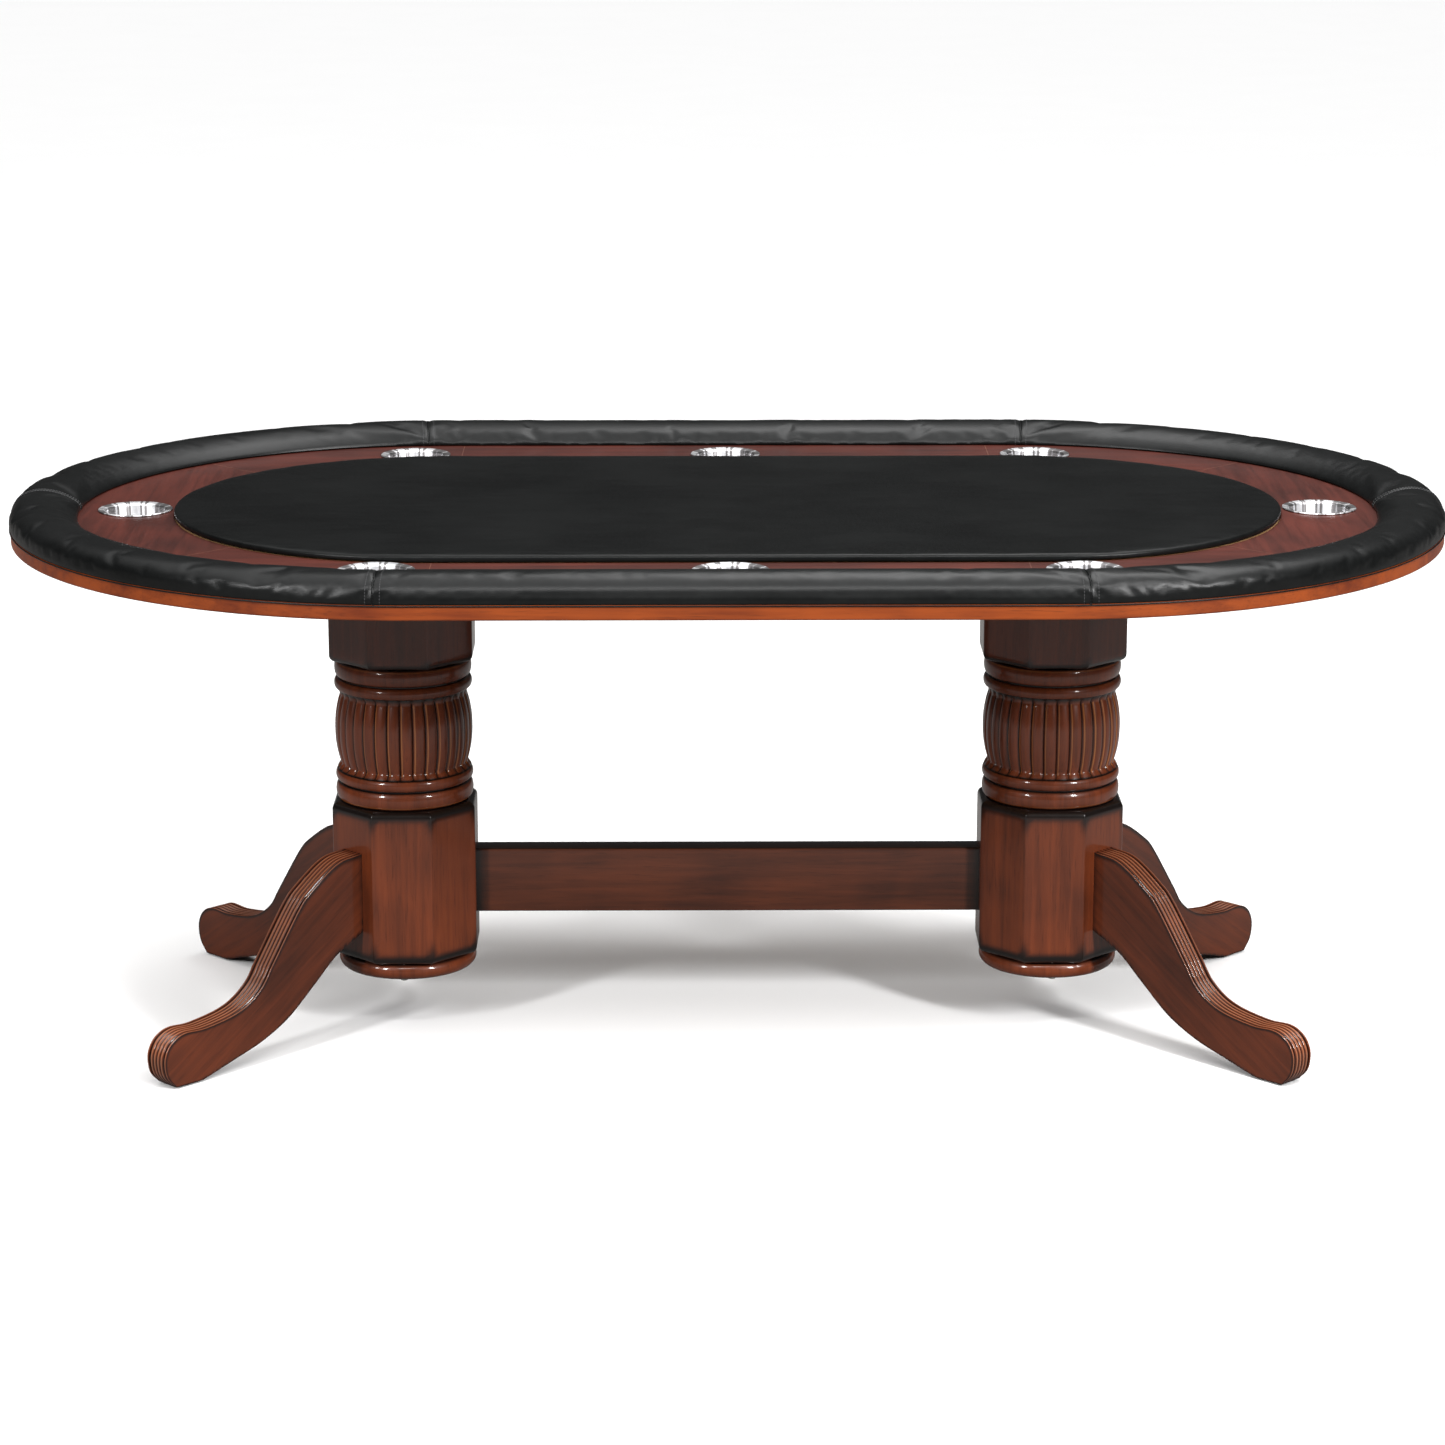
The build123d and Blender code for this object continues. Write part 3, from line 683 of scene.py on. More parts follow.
def lathe(name: str, centre: Point2, outline: Sequence[Point2], segments: int,
          material: bpy.types.Material, crease: float = 40.0) -> bpy.types.Object:
    """Turn an outline of radius and level pairs about an upright axis, with a UV map.

    Args:
        name: The piece's name.
        centre: Plan place of the axis.
        outline: Radius and level pairs, from the axis round to the axis.
        segments: Sides of the turned shape.
        material: Its finish.
        crease: Angle in degrees above which an edge stays sharp.

    Returns:
        The piece. U runs once round from the front, V is the distance along the outline.
    """
    points = []
    for step in range(segments):
        angle = 2 * pi * step / segments - pi / 2
        points += [(centre[0] + radius * cos(angle), centre[1] + radius * sin(angle), level)
                   for radius, level in outline]
    piece = build_mesh(name, points, grid_faces(segments, len(outline), closed_rows=True), material, crease)
    layer = piece.data.uv_layers.new(name="UVMap")
    for polygon in piece.data.polygons:
        middle = polygon.center
        turn = ((atan2(middle.y - centre[1], middle.x - centre[0]) + pi / 2) / (2 * pi)) % 1.0
        for loop in polygon.loop_indices:
            place = piece.data.vertices[piece.data.loops[loop].vertex_index].co
            spin = ((atan2(place.y - centre[1], place.x - centre[0]) + pi / 2) / (2 * pi)) % 1.0
            spin += round(turn - spin)
            layer.data[loop].uv = (spin, place.z)
    return piece


def hand_over(piece: bpy.types.Object, nodes: Sequence[str] = (), body: str = TABLE) -> None:
    """Ride a piece on its body, hide the nodes that it stands for, and report it.

    Args:
        piece: The finished piece.
        nodes: CAD nodes that it replaces.
        body: The body that it moves with.
    """
    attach(piece, body)
    if nodes:
        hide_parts(*nodes)
    LOG.info("%s: %d triangles", piece.name, sum(len(face.vertices) - 2 for face in piece.data.polygons))


# ------------------------------------------------------------------ the table's outline
Station = tuple[float, float]


@dataclass
class RimPath:
    """The table's outline: two straight sides and two half-round ends.

    A station is a place on the spine and the direction, in degrees, in which the rim lies from it.

    Attributes:
        half_length: Half the table's length.
        half_width: Half its width, and the radius of the round ends.
    """

    half_length: float
    half_width: float

    @property
    def end_centre(self) -> float:
        """Distance from the middle to the centre of a round end."""
        return self.half_length - self.half_width

    def route(self, stations: Sequence[Station], pitch: float) -> list[Station]:
        """Fill in stations between a few given ones.

        Args:
            stations: The turning points of the route.
            pitch: Distance between stations at the outline.

        Returns:
            Evenly spaced stations.
        """
        line = [stations[0]]
        for (x_start, turn_start), (x_end, turn_end) in zip(stations, stations[1:]):
            length = abs(x_end - x_start) + radians(abs(turn_end - turn_start)) * self.half_width
            count = max(1, ceil(length / pitch))
            for step in range(1, count + 1):
                share = step / count
                turn = turn_start + (turn_end - turn_start) * share
                line.append((x_start + (x_end - x_start) * share, turn))
        return line

    def closed_route(self, pitch: float) -> list[Station]:
        """Stations all the way round, the last one beside the first."""
        far = self.end_centre
        return self.route([(-far, -90), (far, -90), (far, 90), (-far, 90), (-far, 270)], pitch)[:-1]

    def spot(self, station: Station, inset: float, level: float) -> Point3:
        """A place near the outline.

        Args:
            station: Where on the route.
            inset: Distance in from the outline.
            level: Height above the floor.

        Returns:
            The place.
        """
        reach = self.half_width - inset
        turn = radians(station[1])
        return (station[0] + reach * cos(turn), reach * sin(turn), level)

    def sweep(self, name: str, stations: Sequence[Station], section: Sequence[Point2],
              material: bpy.types.Material, closed: bool = False, crease: float = 40.0) -> bpy.types.Object:
        """Carry a section of inset and level pairs along stations.

        Args:
            name: The piece's name.
            stations: Where the section stands.
            section: The closed section, without its last point repeated.
            material: The finish.
            closed: Whether the route comes back to its start.
            crease: Angle above which an edge stays sharp.

        Returns:
            The piece.
        """
        points = [self.spot(station, inset, level) for station in stations for inset, level in section]
        faces = grid_faces(len(stations), len(section), closed_rows=closed, closed_columns=True)
        if not closed:
            faces += end_caps(len(stations), len(section))
        return build_mesh(name, points, faces, material, crease)


# ------------------------------------------------------------------ soft goods
def inflate(piece: bpy.types.Object, held: Callable[[Vector], bool], pressure: float, reach: float,
            slack: float = 0.0, frames: int = 20) -> None:
    """Let a padded cover swell and pucker as cloth, and keep the result.

    Args:
        piece: The cover, an even mesh of small quads.
        held: Says which vertices are stapled or sewn down.
        pressure: Push of the foam from inside.
        reach: Furthest that a point may move.
        slack: Spare cloth, as a share of its size.
        frames: Length of the simulation.
    """
    rest = [vertex.co.copy() for vertex in piece.data.vertices]
    pins = piece.vertex_groups.new(name="held")
    pins.add([number for number, place in enumerate(rest) if held(place)], 1.0, "REPLACE")
    cloth = piece.modifiers.new("cover", "CLOTH")
    settings = cloth.settings
    settings.quality = 5
    settings.mass = 0.3
    settings.tension_stiffness = 40.0
    settings.compression_stiffness = 40.0
    settings.shear_stiffness = 20.0
    settings.bending_stiffness = 0.8
    settings.use_pressure = True
    settings.uniform_pressure_force = pressure
    settings.shrink_min = -slack
    settings.vertex_group_mass = "held"
    settings.effector_weights.gravity = 0.0
    cloth.collision_settings.use_self_collision = False
    cloth.point_cache.frame_start = 1
    cloth.point_cache.frame_end = frames
    scene = bpy.context.scene
    for number in range(1, frames + 1):
        scene.frame_set(number)
    evaluated = piece.evaluated_get(bpy.context.evaluated_depsgraph_get())
    moved = [vertex.co.copy() for vertex in evaluated.data.vertices]
    piece.modifiers.clear()
    scene.frame_set(1)
    for vertex, start, end in zip(piece.data.vertices, rest, moved):
        step = end - start
        if step.length > reach:
            step *= reach / step.length
        vertex.co = start + step
    piece.data.update()


# ------------------------------------------------------------------ repeats by geometry nodes
class NodeShop(Graph):
    """A geometry node tree, with its input and output."""

    def __init__(self, name: str) -> None:
        """Start an empty tree with a geometry input and output."""
        super().__init__(bpy.data.node_groups.new(name, "GeometryNodeTree"))
        self.tree.interface.new_socket("Geometry", in_out="INPUT", socket_type="NodeSocketGeometry")
        self.tree.interface.new_socket("Geometry", in_out="OUTPUT", socket_type="NodeSocketGeometry")
        self.entry = self.tree.nodes.new("NodeGroupInput")
        self.exit = self.tree.nodes.new("NodeGroupOutput")

    def size(self, name: str, value: float) -> None:
        """Declare a named size with its usual value."""
        socket = self.tree.interface.new_socket(name, in_out="INPUT", socket_type="NodeSocketFloat")
        socket.default_value = value

    def close(self, geometry: bpy.types.NodeSocket, material: bpy.types.Material) -> bpy.types.NodeTree:
        """End the tree in plain geometry of one material.

        Args:
            geometry: The last node's output.
            material: The finish.

        Returns:
            The finished tree.
        """
        real = self.node("GeometryNodeRealizeInstances", {}, {"Geometry": geometry})
        inputs = {"Geometry": real.outputs[0], "Material": material}
        dressed = self.node("GeometryNodeSetMaterial", {}, inputs)
        self.tree.links.new(dressed.outputs[0], self.exit.inputs[0])
        return self.tree


def stitch_tree(material: bpy.types.Material) -> bpy.types.NodeTree:
    """Stitches laid end to end along the edges of a mesh line."""
    shop = NodeShop("stitches")
    shop.size("Pitch", 4.0 * MM)
    shop.size("Length", 1.45 * MM)
    shop.size("Thickness", 0.42 * MM)
    entry = shop.entry.outputs
    line = shop.node("GeometryNodeMeshToCurve", {}, {"Mesh": entry["Geometry"]})
    spread = shop.node("GeometryNodeCurveToPoints", {"mode": "LENGTH"},
                       {"Curve": line.outputs[0], "Length": entry["Pitch"]})
    bead = shop.node("GeometryNodeMeshUVSphere", {}, {"Segments": 8, "Rings": 6, "Radius": 1.0})
    shape = shop.node("ShaderNodeCombineXYZ", {},
                      {"X": entry["Thickness"], "Y": entry["Thickness"], "Z": entry["Length"]})
    laid = shop.node("GeometryNodeInstanceOnPoints", {}, {
        "Points": spread.outputs["Points"], "Instance": bead.outputs["Mesh"],
        "Rotation": spread.outputs["Rotation"], "Scale": shape.outputs[0],
    })
    return shop.close(laid.outputs[0], material)


def welt_tree(material: bpy.types.Material) -> bpy.types.NodeTree:
    """A round bead along the edges of a mesh line."""
    shop = NodeShop("welt")
    shop.size("Radius", 1.2 * MM)
    entry = shop.entry.outputs
    line = shop.node("GeometryNodeMeshToCurve", {}, {"Mesh": entry["Geometry"]})
    ring = shop.node("GeometryNodeCurvePrimitiveCircle", {}, {"Resolution": 10, "Radius": entry["Radius"]})
    bead = shop.node("GeometryNodeCurveToMesh", {}, {
        "Curve": line.outputs[0], "Profile Curve": ring.outputs[0], "Fill Caps": True,
    })
    smooth = shop.node("GeometryNodeSetShadeSmooth", {}, {"Geometry": bead.outputs[0]})
    return shop.close(smooth.outputs[0], material)


def run_tree(name: str, lines: Sequence[Sequence[Sequence[float]]], tree: bpy.types.NodeTree,
             sizes: dict[str, float]) -> bpy.types.Object:
    """Make a piece by running a node tree over mesh lines.

    Args:
        name: The piece's name.
        lines: Each line's points.
        tree: The geometry node tree.
        sizes: Values of its named inputs.

    Returns:
        The piece, as a plain mesh.
    """
    points, edges = [], []
    for line in lines:
        start = len(points)
        points += [tuple(point) for point in line]
        edges += [(number, number + 1) for number in range(start, len(points) - 1)]
    mesh = bpy.data.meshes.new(name)
    mesh.from_pydata(points, edges, [])
    piece = put_down(name, mesh)
    modifier = piece.modifiers.new("repeat", "NODES")
    modifier.node_group = tree
    for item in tree.interface.items_tree:
        if item.in_out == "INPUT" and item.name in sizes:
            modifier[item.identifier] = sizes[item.name]
    bake_modifiers(piece)
    return piece


# ------------------------------------------------------------------ the rail
@dataclass
class Rail:
    """Padded vinyl rail in six sewn lengths, over the edge band.

    Attributes:
        path: The table's outline.
        finishes: The finishes.
        foot: Level of its outer foot, on the edge band.
        inner_foot: Level of its inner foot, on the racetrack.
        crest: Its highest level.
        width: Its width.
        core: Outer inset, inner inset and top level of the wooden core.
        seam_turn: Where the long sides' seams are, in degrees past the straight.
        pitch: Distance between the cover's vertices.
        end_share: Place of the extra station at each sewn end, as a share of the pitch.
        hang: How far the covers hang down over the edge band.
        seam_drop: How far the covers dip at a seam.
        seam_reach: Distance from a seam over which they dip.
        sewn: Distance from a seam within which the cloth is held.
        welt_radius: Radius of the bead along each seam.
        foot_bead_radius: Radius of the bead under the rail.
        stitch_pitch: Distance from one stitch to the next.
        side_rows: Distance of the stitch rows from a seam on a long side.
        end_rows: Distance of the stitch rows from a seam at an end.
        covers: The finished covers, by the end of their nodes' names.
    """

    path: RimPath
    finishes: Finishes
    foot: float
    inner_foot: float
    crest: float
    width: float
    core: tuple[float, float, float]
    seam_turn: float
    pitch: float = 6 * MM
    end_share: float = 0.08
    hang: float = 6 * MM
    seam_drop: float = 1.2 * MM
    seam_reach: float = 6 * MM
    sewn: float = 2 * MM
    welt_radius: float = 1.1 * MM
    foot_bead_radius: float = 1.0 * MM
    stitch_pitch: float = 4.2 * MM
    side_rows: float = 9 * MM
    end_rows: float = 5.5 * MM
    covers: dict[str, bpy.types.Object] = field(default_factory=dict)

    def top_line(self) -> list[Point2]:
        """The visible part of the section, from the outer foot to the inner foot."""
        hem, crest, inner, width = self.foot - self.hang, self.crest, self.inner_foot, self.width
        shape = [
            (1.8 * MM, hem), (0.5 * MM, hem + 1.5 * MM), (0.2 * MM, self.foot + 6 * MM),
            (4 * MM, crest - 14 * MM), (15 * MM, crest - 4.5 * MM), (32 * MM, crest - 0.6 * MM),
            (50 * MM, crest - 0.2 * MM), (70 * MM, crest - 4.2 * MM), (86 * MM, crest - 11.5 * MM),
            (width - 3 * MM, inner + 8 * MM), (width - 0.2 * MM, inner + 3 * MM),
            (width - 1.4 * MM, inner + 0.2 * MM),
        ]
        return even_line(curve_through(shape, 8), 27)

    def section(self) -> list[Point2]:
        """The whole closed section, with the recess for the core."""
        outer, inner, top = self.core
        third = (inner - outer) / 3
        under, over = self.inner_foot + 0.2 * MM, self.foot + 0.2 * MM
        return self.top_line() + [
            (inner, under), (inner, top), (inner - third, top), (outer + third, top),
            (outer, top), (outer, over), (1.9 * MM, over),
        ]

    def seams(self) -> list[Station]:
        """The stations of the six sewn seams, in order round the table."""
        far = self.path.end_centre
        turn = self.seam_turn
        return [
            (-far, -90 - turn), (far, -90 + turn), (far, 0.0),
            (far, 90 - turn), (-far, 90 + turn), (-far, 180.0),
        ]

    def lengths(self) -> dict[str, list[Station]]:
        """The route of each sewn length, by the end of its node's name."""
        far = self.path.end_centre
        seam = self.seams()
        return {
            "front_middle": [seam[0], (-far, -90), (far, -90), seam[1]],
            "front_right": [seam[1], seam[2]],
            "back_right": [seam[2], seam[3]],
            "back_middle": [seam[3], (far, 90), (-far, 90), seam[4]],
            "back_left": [seam[4], seam[5]],
            "front_left": [seam[5], (-far, 270 - self.seam_turn)],
        }

    def held_ends(self, stations: list[Station]) -> list[Station]:
        """Add a station close to each end, which keeps the sewn edges crisp.

        Args:
            stations: A sewn length's route.

        Returns:
            The same route with two more stations.
        """
        def close_to(end: Station, beside: Station) -> Station:
            """A station just inside an end."""
            return tuple(start + (stop - start) * self.end_share for start, stop in zip(end, beside))

        first, last = close_to(stations[0], stations[1]), close_to(stations[-1], stations[-2])
        return [stations[0], first, *stations[1:-1], last, stations[-1]]

    def build(self) -> None:
        """Make the six covers, the welts, the stitching and the bead under the rail."""
        section = self.section()
        for name, ends in self.lengths().items():
            stations = self.held_ends(self.path.route(ends, self.pitch))
            cover = self.path.sweep(f"rail_cover_{name}", stations, section, self.finishes.rail, crease=50)
            self.soften(cover, stations)
            self.covers[name] = cover
            hand_over(cover, [f"rail_cushion_{name}"])
        self.sew()

    def soften(self, cover: bpy.types.Object, stations: list[Station]) -> None:
        """Draw the cover in at its sewn ends, and let it swell between them.

        Args:
            cover: The cover, which is changed.
            stations: Its route.
        """
        lines = []
        for station in (stations[0], stations[-1]):
            end = Vector(self.path.spot(station, 0.0, 0.0)).xy
            start = Vector((station[0], 0.0))
            lines.append((start, (end - start).normalized()))

        def from_seam(place: Vector) -> float:
            """Plan distance to the nearer sewn end."""
            return min(abs((place.xy - start).cross(way)) for start, way in lines)

        low = self.foot + 3 * MM
        inner = self.inner_foot + 4 * MM
        for vertex in cover.data.vertices:
            gap = from_seam(vertex.co)
            lift = smooth_step(vertex.co.z, low, self.crest)
            vertex.co.z -= self.seam_drop * lift * (1 - smooth_step(gap, 0.0, self.seam_reach))
        inflate(
            cover,
            lambda place: place.z < max(low, inner) or from_seam(place) < self.sewn,
            pressure=3.0, reach=1.6 * MM, slack=0.012,
        )
        subdivide(cover, 50)

    def sew(self) -> None:
        """Lay a welt along each seam, a row of stitches on each side of it, and the bead under the rail."""
        depsgraph = bpy.context.evaluated_depsgraph_get()
        trees = [BVHTree.FromObject(cover, depsgraph) for cover in self.covers.values()]
        top = even_line(self.top_line(), 60)
        reach = self.path.half_width - self.width / 2

        def on_cover(station: Station, inset: float, level: float, lift: float) -> Vector:
            """The nearest place on any cover, lifted off it."""
            start = Vector(self.path.spot(station, inset, level))
            best = min((tree.find_nearest(start) for tree in trees), key=lambda hit: hit[3])
            return best[0] + best[1] * lift

        welts, rows = [], []
        for x, turn in self.seams():
            welts.append([on_cover((x, turn), inset, level, 0.3 * MM) for inset, level in top])
            gap = self.end_rows if abs(turn) in (0.0, 180.0) else self.side_rows
            for offset in (-gap, gap):
                station = (x, turn + degrees(offset / reach))
                rows.append([on_cover(station, inset, level, 0.15 * MM) for inset, level in top])
        route = self.path.closed_route(10 * MM)
        foot = [self.path.spot(station, 0.8 * MM, self.foot - self.hang) for station in route]
        vinyl, thread = self.finishes.rail, self.finishes.thread
        for name, lines, tree, sizes in (
            ("rail_seam_welts", welts, welt_tree(vinyl), {"Radius": self.welt_radius}),
            ("rail_stitches", rows, stitch_tree(thread), {"Pitch": self.stitch_pitch}),
            ("rail_foot_bead", [foot + foot[:1]], welt_tree(vinyl), {"Radius": self.foot_bead_radius}),
        ):
            hand_over(run_tree(name, lines, tree, sizes))


# ------------------------------------------------------------------ the edge band and racetrack
@dataclass
class EdgeBand:
    """Stained hardwood band round the bed, in four lengths.

    Attributes:
        path: The table's outline.
        finishes: The finishes.
        bottom: Level of its lower edge.
        top: Level of its upper edge.
        setback: Inset of its face from the outline.
        thickness: Its thickness.
        round_over: Radius of its lower edge.
        pitch: Distance between its stations.
    """

    path: RimPath
    finishes: Finishes
    bottom: float
    top: float
    setback: float
    thickness: float
    round_over: float = 3 * MM
    pitch: float = 12 * MM

    def build(self) -> None:
        """Make the four lengths."""
        back = self.setback + self.thickness
        hub = (self.setback + self.round_over, self.bottom + self.round_over)
        low = quarter_round(hub, self.round_over, 180)
        section = low + [(back, self.bottom), (back, self.top), (self.setback, self.top)]
        far = self.path.end_centre
        routes = {
            "front": [(-far, -90), (far, -90)],
            "right_end": [(far, -90), (far, 90)],
            "back": [(far, 90), (-far, 90)],
            "left_end": [(-far, 90), (-far, 270)],
        }
        for name, ends in routes.items():
            stations = self.path.route(ends, self.pitch)
            piece = self.path.sweep(f"band_{name}", stations, section, self.finishes.edge, crease=40)
            hand_over(piece, [f"edge_band_{name}"])


@dataclass
class Racetrack:
    """Eight veneered panels with fine inlay lines between them.

    Attributes:
        path: The table's outline.
        finishes: The finishes.
        top: Level of the panels.
        inner_inset: Where the lines start, beside the playfield.
        outer_inset: Where they end, under the rail.
        cross_seam: Distance of the straight lines from the table's middle.
        line_width: Width of a line.
        sunk: How far a line reaches down into the panels.
        proud: How far it stands above them.
    """

    path: RimPath
    finishes: Finishes
    top: float
    inner_inset: float
    outer_inset: float
    cross_seam: float = 0.41
    line_width: float = 1.3 * MM
    sunk: float = 6 * MM
    proud: float = 0.12 * MM

    def build(self) -> None:
        """Dress the panels and lay the lines."""
        for name, node in frame["nodes"].items():
            if name.startswith("racetrack_panel"):
                finish = self.finishes.racetrack_end if name.endswith("_end") else self.finishes.racetrack
                dress(node, finish)
        inner = self.path.half_width - self.inner_inset
        outer = self.path.half_width - self.outer_inset
        far = self.path.end_centre
        slant = sqrt(0.5)
        ends = []
        for side in (-1, 1):
            for row in (-1, 1):
                cross = side * self.cross_seam
                ends.append((Vector((cross, row * inner)), Vector((cross, row * outer))))
                ends.append((Vector((side * (far + inner * slant), row * inner * slant)),
                             Vector((side * (far + outer * slant), row * outer * slant))))
        points, faces = [], []
        half = self.line_width / 2
        for start, end in ends:
            along = (end - start).normalized()
            across = Vector((-along.y, along.x)) * half
            base = len(points)
            for level in (self.top - self.sunk, self.top + self.proud):
                for corner in (start - across, end - across, end + across, start + across):
                    points.append((corner.x, corner.y, level))
            faces += [(base, base + 1, base + 2, base + 3), (base + 4, base + 5, base + 6, base + 7)]
            faces += [(base + i, base + (i + 1) % 4, base + 4 + (i + 1) % 4, base + 4 + i) for i in range(4)]
        lines = build_mesh("racetrack_inlay", points, faces, self.finishes.inlay)
        hand_over(lines)


def dress(node: bpy.types.Object, material: bpy.types.Material) -> None:
    """Give a carried-over node one finish."""
    if not node.material_slots:
        node.data.materials.append(material)
    for slot in node.material_slots:
        slot.material = material


# ------------------------------------------------------------------ the playing surface
@dataclass
class Playfield:
    """Raised pad of black vinyl over foam, with a soft turned-down edge.

    Attributes:
        path: The table's outline.
        finishes: The finishes.
        bottom: Level of its underside.
        top: Level of its playing surface.
        inset: Distance of its edge from the outline.
        turned: Width of the turned-down edge.
        pitch: Distance between its stations, at the outline.
    """

    path: RimPath
    finishes: Finishes
    bottom: float
    top: float
    inset: float
    turned: float = 13 * MM
    pitch: float = 14 * MM

    def section(self) -> list[Point2]:
        """Inset and level pairs from the spine, under, up the edge and back over to the spine."""
        edge, low, high, turned = self.inset, self.bottom, self.top, self.turned
        spine = self.path.half_width
        under = [(spine - (spine - edge) * step / 6, low) for step in range(7)]
        side = [
            (edge + 0.2 * MM, low + 4 * MM), (edge + 0.2 * MM, high - 5 * MM),
            (edge + 1.2 * MM, high - 2.2 * MM), (edge + 3.4 * MM, high - 0.7 * MM),
            (edge + 7 * MM, high - 0.2 * MM), (edge + turned, high),
        ]
        over = [(edge + turned + (spine - edge - turned) * step / 34, high) for step in range(1, 35)]
        return under + side + over

    def build(self) -> None:
        """Make the pad."""
        section = self.section()
        stations = self.path.closed_route(self.pitch)
        points = [self.path.spot(station, inset, level) for station in stations for inset, level in section]
        faces = grid_faces(len(stations), len(section), closed_rows=True)
        pad = build_mesh("playfield_cover", points, faces, self.finishes.playfield, crease=60, weld=0.05 * MM)
        inflate(pad, lambda place: place.z < self.bottom + 5 * MM, pressure=0.6, reach=0.5 * MM, slack=0.003)
        subdivide(pad, 60)
        hand_over(pad, ["playfield_pad"])


# ------------------------------------------------------------------ the cup holders
@dataclass
class CupHolder:
    """Pressed steel cup with a rolled lip, which lifts out.

    Attributes:
        name: The cup's place on the table.
        finishes: The finishes.
        segments: Sides of the turned shape.
        wall: Thickness of the steel.
        lip_height: Height of the rolled lip.
        roll: Radius of the lip's edge.
        floor_round: Outside radius between the wall and the bottom.
        inside_round: Inside radius between the wall and the bottom.
    """

    name: str
    finishes: Finishes
    segments: int = 96
    wall: float = 1.2 * MM
    lip_height: float = 2.4 * MM
    roll: float = 1.2 * MM
    floor_round: float = 4 * MM
    inside_round: float = 4.8 * MM

    def outline(self, flange: float, bottom: float, top: float) -> list[Point2]:
        """The cup's outline.

        Args:
            flange: Radius of the lip.
            bottom: Level of the cup's underside.
            top: Level of the top of the lip.

        Returns:
            Radius and level pairs from the axis outside, over the lip and back inside.
        """
        seat, roll, soft, tight = top - self.lip_height, self.roll, self.floor_round, self.inside_round
        mouth, base = flange - 8.6 * MM, flange - 11.6 * MM
        outside = [(0, bottom), (base - soft, bottom)]
        outside += quarter_round((base - soft, bottom + soft), soft, -90)[1:]
        outside += [(mouth - 0.3 * MM, seat - 3 * MM), (mouth, seat)]
        lip = [(flange - roll + roll * sin(angle), seat + roll - roll * cos(angle))
               for angle in [pi * step / 8 for step in range(9)]]
        dip = [(flange - 3.2 * MM, seat + 1.7 * MM), (flange - 5 * MM, seat + 1.5 * MM),
               (mouth + 1.6 * MM, seat + 1.4 * MM)]
        neck = [(mouth + 0.2 * MM, seat + 1.0 * MM), (mouth - 0.9 * MM, seat - 0.2 * MM),
                (mouth - 1.5 * MM, seat - 3 * MM)]
        inner, hub = base - self.wall, bottom + 6 * MM
        inside = [(inner, hub)]
        inside += [(inner - tight + tight * cos(angle), hub - tight * sin(angle))
                   for angle in [pi / 2 * step / 5 for step in range(1, 6)]]
        return outside + lip + dip + neck + inside + [(0, bottom + self.wall)]

    def build(self) -> None:
        """Make the cup."""
        low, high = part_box(f"cup_holder_{self.name}")
        centre = ((low[0] + high[0]) / 2, (low[1] + high[1]) / 2)
        flange = (high[0] - low[0]) / 2
        outline = self.outline(flange, low[2], high[2])
        cup = lathe(f"cup_{self.name}_steel", centre, outline, self.segments, self.finishes.steel, crease=45)
        hand_over(cup, [f"cup_holder_{self.name}"], f"cup_{self.name}")


